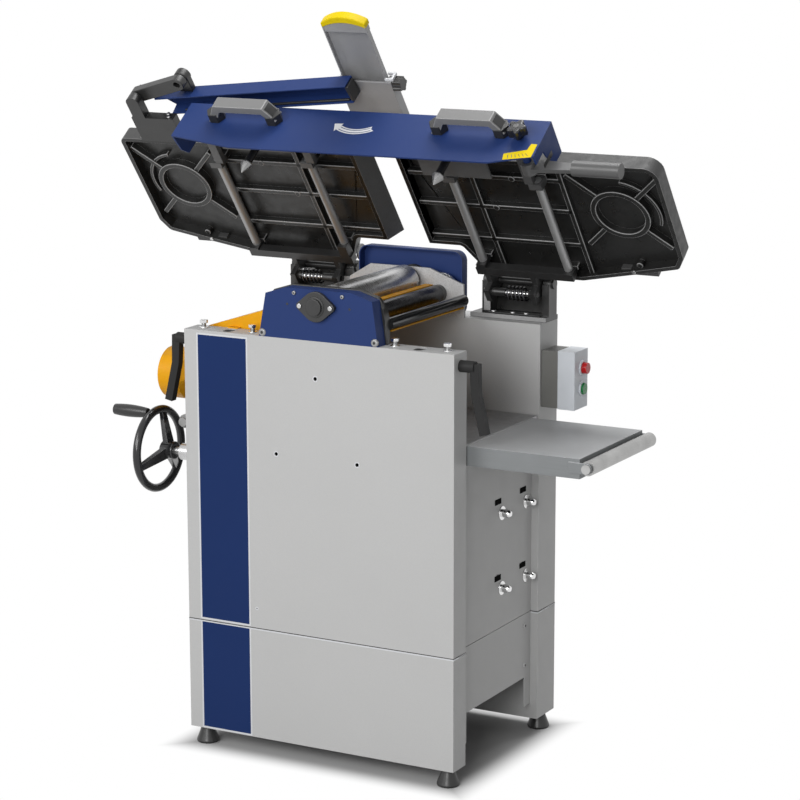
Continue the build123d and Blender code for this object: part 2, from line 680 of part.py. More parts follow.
# Zinc extension table on the right with a short bracket on the left, and their rollers
tray_front = throat_front + 3.5
tray_back = throat_back - 22.1
tray_end = half_width + 207.0
tray_top = bed_height - 1.0
tray_depth = bed_depth - 1.0
stub_end = -half_width - 20.0
ext_roller_radius = 12.5
ext_roller_gap = 1.5
ext_roller_x = tray_end + ext_roller_gap + ext_roller_radius
ext_roller_z = bed_height - 16.0
stub_roller_x = stub_end - ext_roller_gap - ext_roller_radius
ext_axle_radius = 5.0
ear_thick = 4.0
ear_half = 9.0
roller_ear_root = 20.0
screw_head_radius = 8.0
with BuildPart() as extension_table:
    for x0, x1 in ((bed_half_length, tray_end), (stub_end, -bed_half_length)):
        block(x0, x1, tray_front, tray_back, tray_top - tray_depth, tray_top)
        block(x0 + sheet, x1 - sheet, tray_front + sheet, tray_back - sheet,
              tray_top - tray_depth - 1, tray_top - sheet, Mode.SUBTRACT)
    for end, x in ((tray_end, ext_roller_x), (stub_end, stub_roller_x)):
        root = end + roller_ear_root if end < 0 else end - roller_ear_root
        for y in (tray_front - ear_thick, tray_back):
            block(root, x, y, y + ear_thick, ext_roller_z - ear_half, ext_roller_z + ear_half)
            rod(along_y(x, y, ext_roller_z), ear_half, ear_thick)
        rod(along_y(x, tray_front - ear_thick - 1, ext_roller_z), ext_axle_radius + fit_gap,
            tray_back - tray_front + 2 * ear_thick + 2, Mode.SUBTRACT)
save(extension_table, "extension_table")

for name, x in (("extension_roller", ext_roller_x), ("outfeed_end_roller", stub_roller_x)):
    with BuildPart() as end_roller:
        rod(along_y(x, tray_front + 1, ext_roller_z), ext_roller_radius, tray_back - tray_front - 2)
        rod(along_y(x, tray_front - ear_thick, ext_roller_z), ext_axle_radius,
            tray_back - tray_front + 2 * ear_thick)
        rod(along_y(x, tray_front - 2 * ear_thick, ext_roller_z), screw_head_radius, ear_thick - fit_gap)
        rod(along_y(x, tray_front - 2 * ear_thick, ext_roller_z), ext_axle_radius, 2 * ear_thick)
    save(end_roller, name)

# Dust hood: sloping chute under the cutter, turning into a round outlet on the left
hood_front = throat_front + 5.5
hood_back = throat_back - 9.1
hood_left = -half_width - 1.0
hood_tray_right = 120.0
hood_lip_x = 42.0
hood_lip_top = cutter_height - 3.0
hood_lip_flange = 15.0
hood_floor = cutter_height - cutter_radius - 16.5
hood_knee = (-80.0, hood_floor - 27.0)
hood_throat_low = cabinet_top - 83.0
hood_throat_high = cabinet_top - 15.0
hood_shoulder = (-half_width + 20.0, cabinet_top)
hood_top = (-136.0, cabinet_top + 34.0)
hood_ear = (-200.0, -180.0)
hood_ear_reach = 12.0
outlet_radius = 46.0
outlet_centre = (hood_front + 48.0, hood_throat_low - 18.0)
outlet_start = hood_left - 50.0
outlet_end = outlet_start - 42.0
throat_mid_y = (hood_front + hood_back) / 2
throat_mid_z = (hood_throat_low + hood_throat_high) / 2
with BuildPart() as dust_hood:
    with BuildSketch(Plane((0, hood_back, 0), x_dir=(1, 0, 0), z_dir=(0, -1, 0))):
        with BuildLine():
            Polyline((hood_tray_right, hood_floor + 6), (hood_tray_right, hood_floor + 8),
                     (hood_lip_x + sheet, hood_floor + 8),
                     (hood_lip_x + sheet, hood_lip_top - sheet),
                     (hood_lip_x + hood_lip_flange, hood_lip_top - sheet),
                     (hood_lip_x + hood_lip_flange, hood_lip_top), (hood_lip_x, hood_lip_top),
                     (hood_lip_x, hood_floor),
                     (hood_knee[0], hood_floor), (hood_knee[0], hood_top[1]), hood_top, hood_shoulder,
                     (hood_left, hood_throat_high), (hood_left, hood_throat_low), hood_knee,
                     (hood_lip_x + sheet, hood_floor), close=True)
        make_face()
    extrude(amount=hood_back - hood_front)
    with BuildSketch(Plane((0, hood_back - sheet, 0), x_dir=(1, 0, 0), z_dir=(0, -1, 0))):
        with BuildLine():
            Polyline((hood_lip_x - sheet, hood_floor + 1), (hood_lip_x - sheet, hood_floor + 2),
                     (hood_knee[0] + sheet, hood_floor + 2), (hood_knee[0] + sheet, hood_top[1] - sheet),
                     (hood_top[0], hood_top[1] - sheet), (hood_shoulder[0] + 1, hood_shoulder[1] - sheet),
                     (hood_left - 1, hood_throat_high - sheet), (hood_left - 1, hood_throat_low + sheet),
                     (hood_knee[0], hood_knee[1] + sheet + 0.5), close=True)
        make_face()
    extrude(amount=hood_back - hood_front - 2 * sheet, mode=Mode.SUBTRACT)
    with BuildSketch(sideways(hood_left)):
        with Locations((throat_mid_y, throat_mid_z)):
            Rectangle(hood_back - hood_front, hood_throat_high - hood_throat_low)
    with BuildSketch(sideways(outlet_start)):
        with Locations(outlet_centre):
            Circle(outlet_radius)
    loft()
    rod(along_x(outlet_end, *outlet_centre), outlet_radius, outlet_start - outlet_end)
    with BuildSketch(sideways(hood_left + 0.1)):
        with Locations((throat_mid_y, throat_mid_z)):
            Rectangle(hood_back - hood_front - 2 * sheet, hood_throat_high - hood_throat_low - 2 * sheet)
    with BuildSketch(sideways(outlet_start)):
        with Locations(outlet_centre):
            Circle(outlet_radius - sheet)
    loft(mode=Mode.SUBTRACT)
    rod(along_x(outlet_end - 1, *outlet_centre), outlet_radius - sheet, outlet_start - outlet_end + 2,
        Mode.SUBTRACT)
    for y0, y1 in ((throat_front - hood_ear_reach / 2, hood_front),
                   (hood_back, throat_back + hood_ear_reach / 2)):
        block(*hood_ear, y0, y1, cabinet_top, cabinet_top + sheet)
save(dust_hood, "dust_hood")

# Motor on its flange plate, its pulley, and the belt up to the cutterblock
motor_front = -95.0
motor_shaft_radius = 9.5
with BuildPart() as motor:
    rod(along_y(cutter_x, motor_front, motor_height), motor_radius, throat_back - 8 - motor_front)
    rod(along_y(cutter_x, motor_front - 30, motor_height), motor_radius - 4, 30)
    block(cutter_x - 85, cutter_x + 85, throat_back - 8, throat_back, motor_height - 85, motor_height + 85)
    rod(along_y(cutter_x, throat_back - 20, motor_height), motor_shaft_radius + loose_gap, 25,
        Mode.SUBTRACT)
save(motor, "motor")

with BuildPart() as motor_pulley:
    rod(along_y(cutter_x, throat_back - 19, motor_height), motor_shaft_radius,
        belt_y + belt_width / 2 - throat_back + 19)
    rod(along_y(cutter_x, belt_y - belt_width / 2, motor_height), motor_pulley_radius, belt_width)
save(motor_pulley, "motor_pulley")

belt_gap = 0.4
with BuildPart() as drive_belt:
    for extra, mode in ((belt_gap + belt_thick, Mode.ADD), (belt_gap, Mode.SUBTRACT)):
        with BuildSketch(along_y(cutter_x, belt_y - belt_width / 2, motor_height)):
            Circle(motor_pulley_radius + extra)
            with Locations((0, motor_height - cutter_height)):
                Circle(cutter_pulley_radius + extra)
            make_hull()
        extrude(amount=belt_width, mode=mode)
save(drive_belt, "drive_belt")

# Switch box on the right side of the rear box
switch_y = back_y - 39.5
switch_width = 54.0
switch_bottom = 607.0
switch_height = 102.0
base_depth = 32.0
cover_depth = 33.0
wall = 2.5
button_radius = 10.0
button_gap = 0.3
button_depth = 14.0
ring_width = 3.5
ring_height = 3.0
button_y = switch_y + 4.0
stop_height = switch_bottom + 71.0
start_height = switch_bottom + 34.0
stop_reach = 12.0
start_reach = 6.5
switch_face = half_width + base_depth + cover_depth
with BuildPart() as switch_base:
    block(half_width, half_width + base_depth, switch_y - switch_width / 2, switch_y + switch_width / 2,
          switch_bottom, switch_bottom + switch_height)
    block(half_width + wall, half_width + base_depth + 1, switch_y - switch_width / 2 + wall,
          switch_y + switch_width / 2 - wall, switch_bottom + wall, switch_bottom + switch_height - wall,
          Mode.SUBTRACT)
save(switch_base, "switch_base")

with BuildPart() as switch_cover:
    block(half_width + base_depth, switch_face, switch_y - switch_width / 2, switch_y + switch_width / 2,
          switch_bottom - 1, switch_bottom + switch_height + 1)
    block(half_width + base_depth - 1, switch_face - wall, switch_y - switch_width / 2 + wall,
          switch_y + switch_width / 2 - wall, switch_bottom + wall, switch_bottom + switch_height - wall,
          Mode.SUBTRACT)
    for z in (stop_height, start_height):
        rod(along_x(switch_face, button_y, z), button_radius + ring_width, ring_height)
        rod(along_x(switch_face - wall - 1, button_y, z), button_radius + button_gap,
            wall + ring_height + 2, Mode.SUBTRACT)
save(switch_cover, "switch_cover")

for name, z, reach in (("stop_button", stop_height, stop_reach),
                       ("start_button", start_height, start_reach)):
    with BuildPart() as button:
        rod(along_x(switch_face - button_depth, button_y, z), button_radius, button_depth + reach)
    save(button, name)

# Clamp levers on both sides of the front box
lever_arm_width = 14.0
lever_hub_radius = 10.0
lever_hub_length = 28.0
lever_gap = 0.3
lever_kink = lever_height - 43.0
lever_tip = lever_height - 114.0
lever_outline = ((20.0, lever_height + 6), (36.0, lever_height + 6), (37.0, lever_kink),
                 (53.0, lever_tip + 3),
                 (39.0, lever_tip), (23.0, lever_kink - 2))
for name, side in (("left_clamp_lever", -1), ("right_clamp_lever", 1)):
    with BuildPart() as clamp_lever:
        face = side * half_width
        rod(along_x(min(face - side * 14, face), box_mid_y, lever_height), stud_radius, 14)
        rod(along_x(min(face - side * 18, face - side * 6), box_mid_y, lever_height), stud_radius + 6, 12)
        rod(along_x(min(face + side * lever_gap, face + side * lever_hub_length), box_mid_y, lever_height),
            lever_hub_radius, lever_hub_length - lever_gap)
        rod(along_x(min(face, face + side), box_mid_y, lever_height), stud_radius, 1)
        with BuildSketch(Plane((face, box_mid_y, 0), x_dir=(side, 0, 0), z_dir=(0, -side, 0))) as arm:
            with BuildLine():
                Polyline(*lever_outline, close=True)
            make_face()
        extrude(arm.sketch, amount=lever_arm_width / 2, both=True)
    save(clamp_lever, name)

# Arms that carry the tables: lugs on the hinge pins, cross bars and clamps for the tubes
lug_inner = (inner_cheek[1] + 2, inner_cheek[1] + 12)
lug_outer = (outer_cheek[0] - 12, outer_cheek[0] - 2)
lug_radius = 12.0
lug_back = 8.0
arm_top = -8.0
arm_base = -24.0
cross_front = 52.0
cross_rear = 36.0
cross_overhang = 12.0
latch_reach = 5.0
latch_drop = -34.0
latch_radius = 5.0
latch_block = 13.0
sleeve_wall = 2.5
spring_start = lug_inner[1] + 27
spring_end = lug_outer[0] - 7
infeed_tubes = ((148.0, 60.0, 270.0), (312.0, 45.0, 265.0))
outfeed_tubes = ((-129.0, 77.0, 283.0), (-323.0, 56.0, 269.0))
clamp_half = 9.0
clamp_depth = 8.0
clamp_top = 1.0
tube_grip = 30.0
with BuildPart() as hinge_arms:
    for side, tubes in ((1, infeed_tubes), (-1, outfeed_tubes)):
        ends = [x for x, rear, front in tubes]
        table_block(min(ends) - cross_overhang, max(ends) + cross_overhang, cross_rear, cross_front,
                    arm_base, arm_top)
        for near, far in (lug_inner, lug_outer):
            x = min(side * near, side * far)
            table_block(x, x + far - near, 0, cross_front, arm_base, arm_top)
            table_block(x, x + far - near, -lug_back, latch_reach + latch_block, latch_drop - lug_radius, 0)
            rod(across(x), lug_radius, far - near)
            rod(across(x - 1), hinge_pin_radius + fit_gap, far - near + 2, Mode.SUBTRACT)
        for near, far in ((lug_inner[1], spring_start), (spring_end, lug_outer[0])):
            rod(across(min(side * near, side * far), latch_reach, latch_drop), latch_radius + sleeve_wall,
                far - near)
        rod(across(min(side * lug_inner[0], side * lug_outer[1]) - 1, latch_reach, latch_drop),
            latch_radius + fit_gap, lug_outer[1] - lug_inner[0] + 2, Mode.SUBTRACT)
        for x, rear, front in tubes:
            table_block(x - clamp_half, x + clamp_half, cross_rear, rear, arm_base, arm_top)
            table_block(x - clamp_half, x + clamp_half, rear - clamp_depth, rear, arm_top, clamp_top)
            rod(fore(rear - clamp_depth, x, -tube_drop), tube_radius, tube_grip, Mode.SUBTRACT)
save(hinge_arms, "hinge_arms")

# Latch rods, which are pulled inwards to free the tables
latch_travel = 6.0
for name, side in (("left_latch_rod", -1), ("right_latch_rod", 1)):
    with BuildPart() as latch_rod:
        near = side * (lug_inner[0] + latch_travel + 1)
        far = side * lug_outer[1]
        rod(across(min(near, far), latch_reach, latch_drop), latch_radius, abs(far - near))
    save(latch_rod, name)

# Springs round the latch rods, each one unbroken wire wound along X
spring_radius = 11.2
wire_radius = 1.75
spring_turns = 5
spring_pitch = 7.6
spring_lead = 2 * wire_radius
spring_middle = (spring_start + spring_end) / 2
gap_samples = 400


def biarc(start, start_tangent, end, end_tangent):
    """Two arcs that join two points with the given directions."""
    chord = end - start
    both = start_tangent + end_tangent
    spread = 2 * (1 - start_tangent.dot(end_tangent))
    reach = (-chord.dot(both) + (chord.dot(both) ** 2 + spread * chord.dot(chord)) ** 0.5) / spread
    near = start + start_tangent * reach
    far = end - end_tangent * reach
    middle = (near + far) * 0.5
    first = TangentArc(start, middle, tangent=start_tangent)
    second = TangentArc(middle, end, tangent=(far - near).normalized())
    return first, second


with BuildPart() as hinge_springs:
    for side in (-1, 1):
        middle = tables.from_local_coords(Vector(side * spring_middle, -latch_reach, latch_drop))
        wind = []
        for quarter in range(4 * spring_turns + 1):
            turn = pi / 2 * quarter
            along = spring_pitch * (quarter / 4 - spring_turns / 2)
            point = middle + Vector(along, spring_radius * cos(turn), spring_radius * sin(turn))
            slope = Vector(spring_pitch / (2 * pi), -spring_radius * sin(turn),
                           spring_radius * cos(turn)).normalized()
            wind.append((point, slope))
        with BuildLine() as wire:
            Line(wind[0][0] - wind[0][1] * spring_lead, wind[0][0])
            for (near_point, near_slope), (far_point, far_slope) in zip(wind, wind[1:]):
                biarc(near_point, near_slope, far_point, far_slope)
            Line(wind[-1][0], wind[-1][0] + wind[-1][1] * spring_lead)
        with BuildSketch(Plane(wind[0][0] - wind[0][1] * spring_lead, z_dir=wind[0][1])):
            Circle(wire_radius)
        sweep(path=wire.wires()[0])
        points = [wire.wires()[0] @ (index / gap_samples) for index in range(gap_samples + 1)]
        half_turn = gap_samples // (2 * spring_turns)
        apart = [(a - b).length for i, a in enumerate(points) for b in points[i + half_turn:]]
        print("spring least gap", round(min(apart) - 2 * wire_radius, 2))
save(hinge_springs, "hinge_springs")


# Cast tables: a ribbed plate with a rim, a lip at the cutter and a round pocket at the outer end
rib_base = 6.0
plate_base = surface_above_hinge - table_skin
rim_base = surface_above_hinge - rim_depth
rib_across_reaches = (105.0, 150.0, 196.0, 244.0)
rib_along_offsets = (100.0, 190.0, 265.0, 345.0)
pocket_offset = table_half_length - pocket_inset
spoke_reach = 60.0
boss_half = 10.0
boss_depth = 12.0
table_outline = [(table_gap, notch_depth), (notch_end, notch_depth), (rear_edge_start, table_rear),
                 (rear_edge_end, table_rear)]
table_outline += [(table_half_length - inset, reach) for inset, reach in outer_slope]
table_outline += [(table_half_length, table_reach), (table_gap, table_reach)]
lip_outline = ((table_gap + lip_run, rim_base), (table_gap, rim_base),
               (lip_gap, surface_above_hinge - lip_thick),
               (lip_gap, surface_above_hinge), (table_gap + lip_run, surface_above_hinge))
for name, side, tubes, boss_base in (("infeed_table", 1, infeed_tubes, clamp_top + depth_travel + 0.3),
                                     ("outfeed_table", -1, outfeed_tubes, clamp_top)):
    with BuildPart() as cast_table:
        with BuildSketch(level(rim_base)) as rim:
            with BuildLine():
                Polyline(*[(cutter_x + side * u, -v) for u, v in table_outline], close=True)
            make_face()
            corner = rim.vertices().sort_by_distance(
                tables.from_local_coords(Vector(cutter_x + side * table_half_length, -table_reach,
                                                rim_base)))[0]
            fillet(corner, table_corner)
        extrude(amount=rim_depth)
        with BuildSketch(level(rim_base)) as inside:
            with BuildLine():
                Polyline(*[(cutter_x + side * u, -v) for u, v in table_outline], close=True)
            make_face()
            offset(amount=-rim_width, kind=Kind.INTERSECTION)
            with Locations((cutter_x + side * pocket_offset, -pocket_reach)):
                Circle(pocket_radius, mode=Mode.SUBTRACT)
        extrude(amount=rib_base - rim_base, mode=Mode.SUBTRACT)
        with BuildSketch(level(rib_base)):
            add(level(rib_base).to_local_coords(inside.sketch.moved(Location(tables.z_dir * (rib_base - rim_base)))))
            for reach in rib_across_reaches:
                with Locations((cutter_x + side * table_half_length / 2, -reach)):
                    Rectangle(2 * table_half_length, rib_width, mode=Mode.SUBTRACT)
            for along in rib_along_offsets:
                with Locations((cutter_x + side * along, -table_reach / 2)):
                    Rectangle(rib_width, 2 * table_reach, mode=Mode.SUBTRACT)
            with Locations((cutter_x + side * pocket_offset, -pocket_reach)):
                Circle(pocket_radius, mode=Mode.SUBTRACT)
                with PolarLocations((pocket_radius + spoke_reach) / 2 + 20, 4, start_angle=45):
                    Rectangle(spoke_reach, rib_width, mode=Mode.SUBTRACT)
        extrude(amount=plate_base - rib_base, mode=Mode.SUBTRACT)
        with BuildSketch(level(rim_base)):
            with Locations((cutter_x + side * pocket_offset, -pocket_reach)):
                Circle(pocket_radius - pocket_wall)
        extrude(amount=plate_base - rim_base, mode=Mode.SUBTRACT)
        with BuildSketch(level(rib_base)):
            with Locations((cutter_x + side * pocket_offset, -pocket_reach)):
                Circle(pocket_ring[0])
                Circle(pocket_ring[1], mode=Mode.SUBTRACT)
        extrude(amount=plate_base - rib_base)
        with BuildSketch(fore(notch_depth, cutter_x)):
            with BuildLine():
                Polyline(*[(side * u, w) for u, w in lip_outline], close=True)
            make_face()
        extrude(amount=table_reach - notch_depth)
        for x, rear, front in tubes:
            for v0, v1 in ((rear - clamp_depth, rear), (front - boss_depth, front)):
                table_block(x - boss_half, x + boss_half, v0, v1, boss_base, plate_base)
    save(cast_table, name)

# Four steel tubes under the tables
with BuildPart() as table_tubes:
    for x, rear, front in infeed_tubes + outfeed_tubes:
        rod(fore(rear - clamp_depth, x, -tube_drop), tube_radius, front - rear + clamp_depth)
save(table_tubes, "table_tubes")

# Brackets at the tubes' front ends, and the rest plates behind the front bar
rest_level = -50.0
rest_thick = 4.0
rest_front = bar_reach - bar_sheet
rest_plate_spans = ((124.0, 254.0, 302.0), (-265.0, -125.0, 335.0))
bracket_half = 12.0
bracket_base = -22.0
pin_radius = 7.0
pin_reach = 352.0
strap_half = 8.0
strap_inward = 10.0
with BuildPart() as rest_plates:
    for x, rear, front in infeed_tubes + outfeed_tubes:
        table_block(x - bracket_half, x + bracket_half, front - boss_depth, front, bracket_base, clamp_top)
        rod(fore(front - boss_depth - 1, x, -tube_drop), tube_radius, boss_depth + 1, Mode.SUBTRACT)
        strap_x = x - strap_inward if x > 0 else x + strap_inward
        table_block(strap_x - strap_half, strap_x + strap_half, front, rest_front, bracket_base + 1,
                    bracket_base + 12.5)
    for x0, x1, rear in rest_plate_spans:
        table_block(x0, x1, rear, rest_front, rest_level, rest_level + rest_thick)
    for x in pin_x:
        rod(out_of(x, pin_reach, rest_level - 1), pin_radius + 0.1, rest_thick + 2, Mode.SUBTRACT)
save(rest_plates, "rest_plates")

# Lock pins on the rest plates, pointed at the end
lock_pin_length = 58.0
pin_point = 18.0
pin_tip_radius = 1.5
pin_head_radius = 11.0
pin_head = 6.0
with BuildPart() as lock_pins:
    for x in pin_x:
        foot = tables.from_local_coords(Vector(x, -pin_reach, rest_level + rest_thick))
        down = Plane(foot, x_dir=(1, 0, 0), z_dir=-tables.z_dir)
        rod(down, pin_radius, lock_pin_length)
        rod(down.offset(-pin_head), pin_head_radius, pin_head)
        with BuildSketch(down.offset(lock_pin_length)):
            Circle(pin_radius)
        with BuildSketch(down.offset(lock_pin_length + pin_point)):
            Circle(pin_tip_radius)
        loft()
save(lock_pins, "lock_pins")

# Blue bar along the front, a folded sheet with a cheek at each end
bar_left = -326.5
bar_right = 375.5
bar_top = -6.0
bar_low_ends = -90.0
bar_low_middle = -110.0
bar_kink_left = -200.0
bar_kink_right = 298.0
lever_x = 343.0
lever_drop = -62.0
lever_pin_rear = 334.0
lever_pin_radius = 7.0
star_x = 334.0
star_drop = -46.0
star_hole = 4.5
right_cheek = ((rest_front, bar_top), (332, bar_top), (332, -42), (380, -58), (380, bar_low_ends + 2),
               (rest_front, bar_low_ends))
left_cheek = ((rest_front, bar_top), (340, bar_top), (340, -70), (360, bar_low_ends + 6),
              (rest_front, bar_low_ends))
with BuildPart() as front_bar:
    with BuildSketch(fore(rest_front)):
        with BuildLine():
            Polyline((bar_left, bar_top), (bar_right, bar_top), (bar_right, bar_low_ends),
                     (bar_kink_right, bar_low_middle), (bar_kink_left, bar_low_middle),
                     (bar_left, bar_low_ends),
                     close=True)
        make_face()
        with Locations((star_x, star_drop)):
            Circle(star_hole, mode=Mode.SUBTRACT)
    extrude(amount=bar_sheet)
    for x, outline in ((bar_right - bar_sheet, right_cheek), (bar_left, left_cheek)):
        with BuildSketch(across(x)):
            with BuildLine():
                Polyline(*[(-v, w) for v, w in outline], close=True)
            make_face()
        extrude(amount=bar_sheet)
    rod(fore(lever_pin_rear, lever_x, lever_drop), lever_pin_radius, rest_front - lever_pin_rear)
save(front_bar, "front_bar")

# Two black handles on the bar
handle_x = (-196.0, 242.0)
handle_drop = -40.0
handle_width = 25.0
handle_foot = 70.0
handle_grip = 50.0
handle_reach = 38.0
handle_thick = 14.0
with BuildPart() as bar_handles:
    for x in handle_x:
        with BuildSketch(level(handle_drop - handle_width / 2)):
            with BuildLine():
                Polyline((x - handle_foot, -bar_reach), (x - handle_grip, -bar_reach - handle_reach),
                         (x + handle_grip, -bar_reach - handle_reach), (x + handle_foot, -bar_reach),
                         (x + handle_foot - 18, -bar_reach),
                         (x + handle_grip - 10, handle_thick - bar_reach - handle_reach),
                         (x - handle_grip + 10, handle_thick - bar_reach - handle_reach),
                         (x - handle_foot + 18, -bar_reach), close=True)
            make_face()
        extrude(amount=handle_width)
save(bar_handles, "bar_handles")

# Star knob that locks the depth setting
knob_core = 12.0
knob_lobes = 5
knob_lobe = 4.0
knob_depth = 22.0
knob_stem = 4.0
with BuildPart() as star_knob:
    with BuildSketch(fore(bar_reach + 2, star_x, star_drop)):
        Circle(knob_core)
        with PolarLocations(knob_core - 1, knob_lobes):
            Circle(knob_lobe)
    extrude(amount=knob_depth)
    rod(fore(bar_reach - knob_core, star_x, star_drop), knob_stem, knob_core + 2)
save(star_knob, "star_knob")

# Depth lever with its grip
lever_hub = 14.0
lever_hub_depth = 24.0
lever_reach = 82.0
lever_root_half = 13.0
lever_tip_half = 8.0
lever_plate = 8.0
lever_grip_radius = 13.0
lever_grip_length = 85.0
with BuildPart() as depth_lever:
    rod(fore(lever_pin_rear + 4, lever_x, lever_drop), lever_hub, lever_hub_depth)
    with BuildSketch(fore(lever_pin_rear + 12, lever_x, lever_drop)):
        with BuildLine():
            Polyline((0, -lever_root_half), (lever_reach, -lever_tip_half), (lever_reach, lever_tip_half),
                     (0, lever_root_half), close=True)
        make_face()
    extrude(amount=lever_plate)
    rod(across(lever_x + lever_reach - 2, lever_pin_rear + 16, lever_drop), lever_grip_radius,
        lever_grip_length)
    rod(fore(lever_pin_rear + 3, lever_x, lever_drop), lever_pin_radius + fit_gap, lever_hub_depth + 2,
        Mode.SUBTRACT)
save(depth_lever, "depth_lever")

# Bridge guard: mount at the outfeed table's outer end, and the link that swings on it
table_end = cutter_x - table_half_length
guard_pin = 6.0
guard_hub = 13.0
guard_washer = 9.0
hub_one = (table_end + 73.5, 394.0)
hub_two = (hub_one[0] + 99.0, hub_one[1] + 33.0)
link_base = 8.0
link_thick = 16.0
link_top = link_base + link_thick
mount_base = -10.0
mount_top = 7.0
mount_flange = (table_end + 51.5, table_end + 118.5)
mount_block = (table_end + 56.5, table_end + 145.5)
mount_neck = (table_end + 60.5, table_end + 86.5)
mount_flange_thick = 4.0
mount_depth = 60.0
with BuildPart() as guard_mount:
    table_block(*mount_flange, table_reach, table_reach + mount_flange_thick, mount_base + mount_top,
                2 * mount_top)
    table_block(*mount_block, table_reach + mount_flange_thick, table_reach + mount_depth, mount_base,
                mount_top)
    table_block(*mount_neck, table_reach + mount_depth, hub_one[1], mount_base, mount_top)
    rod(out_of(*hub_one, mount_base), guard_hub, mount_top - mount_base)
    rod(out_of(*hub_one, 0), guard_pin, link_top + guard_pin)
    rod(out_of(*hub_one, link_top + loose_gap / 2), guard_washer, 5)
save(guard_mount, "guard_mount")

with BuildPart() as guard_link:
    with BuildSketch(level(link_base)):
        with Locations((hub_one[0], -hub_one[1]), (hub_two[0], -hub_two[1])):
            Circle(guard_hub)
        make_hull()
        with Locations((hub_one[0], -hub_one[1]), (hub_two[0], -hub_two[1])):
            Circle(guard_pin + fit_gap, mode=Mode.SUBTRACT)
    extrude(amount=link_thick)
save(guard_link, "guard_link")

# Arm of the guard, a channel that reaches from the link to the middle of the tables
arm_turn = radians(7.2)
arm_start = hub_one[0] + 23.0
arm_end = -9.343
arm_length = (arm_end - arm_start) / cos(arm_turn)
arm_reach = hub_one[1] - 8.0
arm_deep = 38.0
arm_low = 12.0
arm_tall = 29.0
arm_high = arm_low + arm_tall
arm_wall = 3.0
arm_hub = (hub_two[0] - 14.0, hub_two[0] + 14.0)
arm_plane = Plane(tables.from_local_coords(Vector(arm_start, -arm_reach, arm_low)),
                  x_dir=tables.x_dir * cos(arm_turn) - tables.y_dir * sin(arm_turn), z_dir=tables.z_dir)
with BuildPart() as guard_arm:
    with BuildSketch(arm_plane):
        with Locations((arm_length / 2, arm_deep / 2)):
            Rectangle(arm_length, arm_deep)
    extrude(amount=arm_tall)
    with BuildSketch(arm_plane):
        with Locations((arm_length / 2, arm_deep / 2)):
            Rectangle(arm_length + 2, arm_deep - 2 * arm_wall)
    extrude(amount=arm_tall - arm_wall, mode=Mode.SUBTRACT)
    table_block(*arm_hub, hub_two[1] - 30, hub_two[1], link_top + loose_gap / 2, arm_high)
    rod(out_of(*hub_two, link_top + loose_gap / 2), guard_hub + 1, arm_high - link_top - loose_gap / 2)
    rod(out_of(*hub_two, 0), guard_pin, link_top + loose_gap)
    rod(out_of(*hub_two, link_base - guard_pin), guard_washer, guard_pin - loose_gap / 2)
save(guard_arm, "guard_arm")

# Carriage on the arm's end, with a rail on each side of the bridge
bridge_left = -33.0
bridge_right = 52.0
bridge_back = 270.0
bridge_front = 547.0
bridge_wall = 2.5
rail_gap = 0.5
rail_thick = 7.0
rail_wide = 10.0
rail_top = 60.0
carriage_thick = 4.0
carriage_back = 345.0
carriage_front = 425.0
carriage_floor = arm_high + carriage_thick
bridge_base = carriage_floor + loose_gap
screw_reach = 414.0
screw_level = bridge_base + 6.0
guard_screw = 4.0
with BuildPart() as guard_carriage:
    table_block(bridge_left - rail_gap - rail_thick - 1.5, bridge_right + rail_gap + rail_wide,
                carriage_back,
                carriage_front, arm_high, carriage_floor)
    table_block(bridge_left - rail_gap - rail_thick, bridge_left - rail_gap, carriage_back - rail_thick,
                carriage_front, carriage_floor, rail_top)
    table_block(bridge_right + rail_gap, bridge_right + rail_gap + rail_wide, carriage_back - rail_thick,
                carriage_front, carriage_floor, rail_top)
    rod(across(bridge_right, screw_reach, screw_level), guard_screw + fit_gap, rail_wide + 4, Mode.SUBTRACT)
save(guard_carriage, "guard_carriage")

# Sliding bridge, an aluminium section with bent edges, and its end cap
bridge_width = bridge_right - bridge_left
bridge_edge = 9.0
bridge_height = 16.0
bridge_slope = 13.0
cap_length = 17.0


def bridge_outline(inward):
    """Outline of the bridge's section, set in by a wall."""
    low = bridge_edge - inward * 0.6
    slope = bridge_slope + inward * 0.24
    return ((inward, 0), (inward, low), (slope, bridge_height - inward),
            (bridge_width - slope, bridge_height - inward),
            (bridge_width - inward, low), (bridge_width - inward, 0))


with BuildPart() as guard_bridge:
    with BuildSketch(fore(bridge_back, bridge_left, bridge_base)):
        for inward, mode in ((0, Mode.ADD), (bridge_wall, Mode.SUBTRACT)):
            with BuildLine():
                Polyline(*bridge_outline(inward), close=True)
            make_face(mode=mode)
    extrude(amount=bridge_front - bridge_back)
save(guard_bridge, "guard_bridge")

with BuildPart() as guard_end_cap:
    with BuildSketch(fore(bridge_front, bridge_left, bridge_base)):
        with BuildLine():
            Polyline(*bridge_outline(0), close=True)
        make_face()
    extrude(amount=cap_length)
save(guard_end_cap, "guard_end_cap")

# Knob that clamps the bridge
guard_knob_core = 11.0
guard_knob_lobe = 3.5
guard_knob_depth = 16.0
with BuildPart() as guard_knob:
    rod(across(bridge_right + rail_gap + 1, screw_reach, screw_level), guard_screw, rail_wide + 4)
    with BuildSketch(across(bridge_right + 2 * rail_gap + rail_wide, screw_reach, screw_level)):
        Circle(guard_knob_core)
        with PolarLocations(guard_knob_core - 1, knob_lobes):
            Circle(guard_knob_lobe)
    extrude(amount=guard_knob_depth)
save(guard_knob, "guard_knob")
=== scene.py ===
import json
from math import cos, pi, radians, sin

import bmesh
import bpy
from mathutils import Matrix, Vector


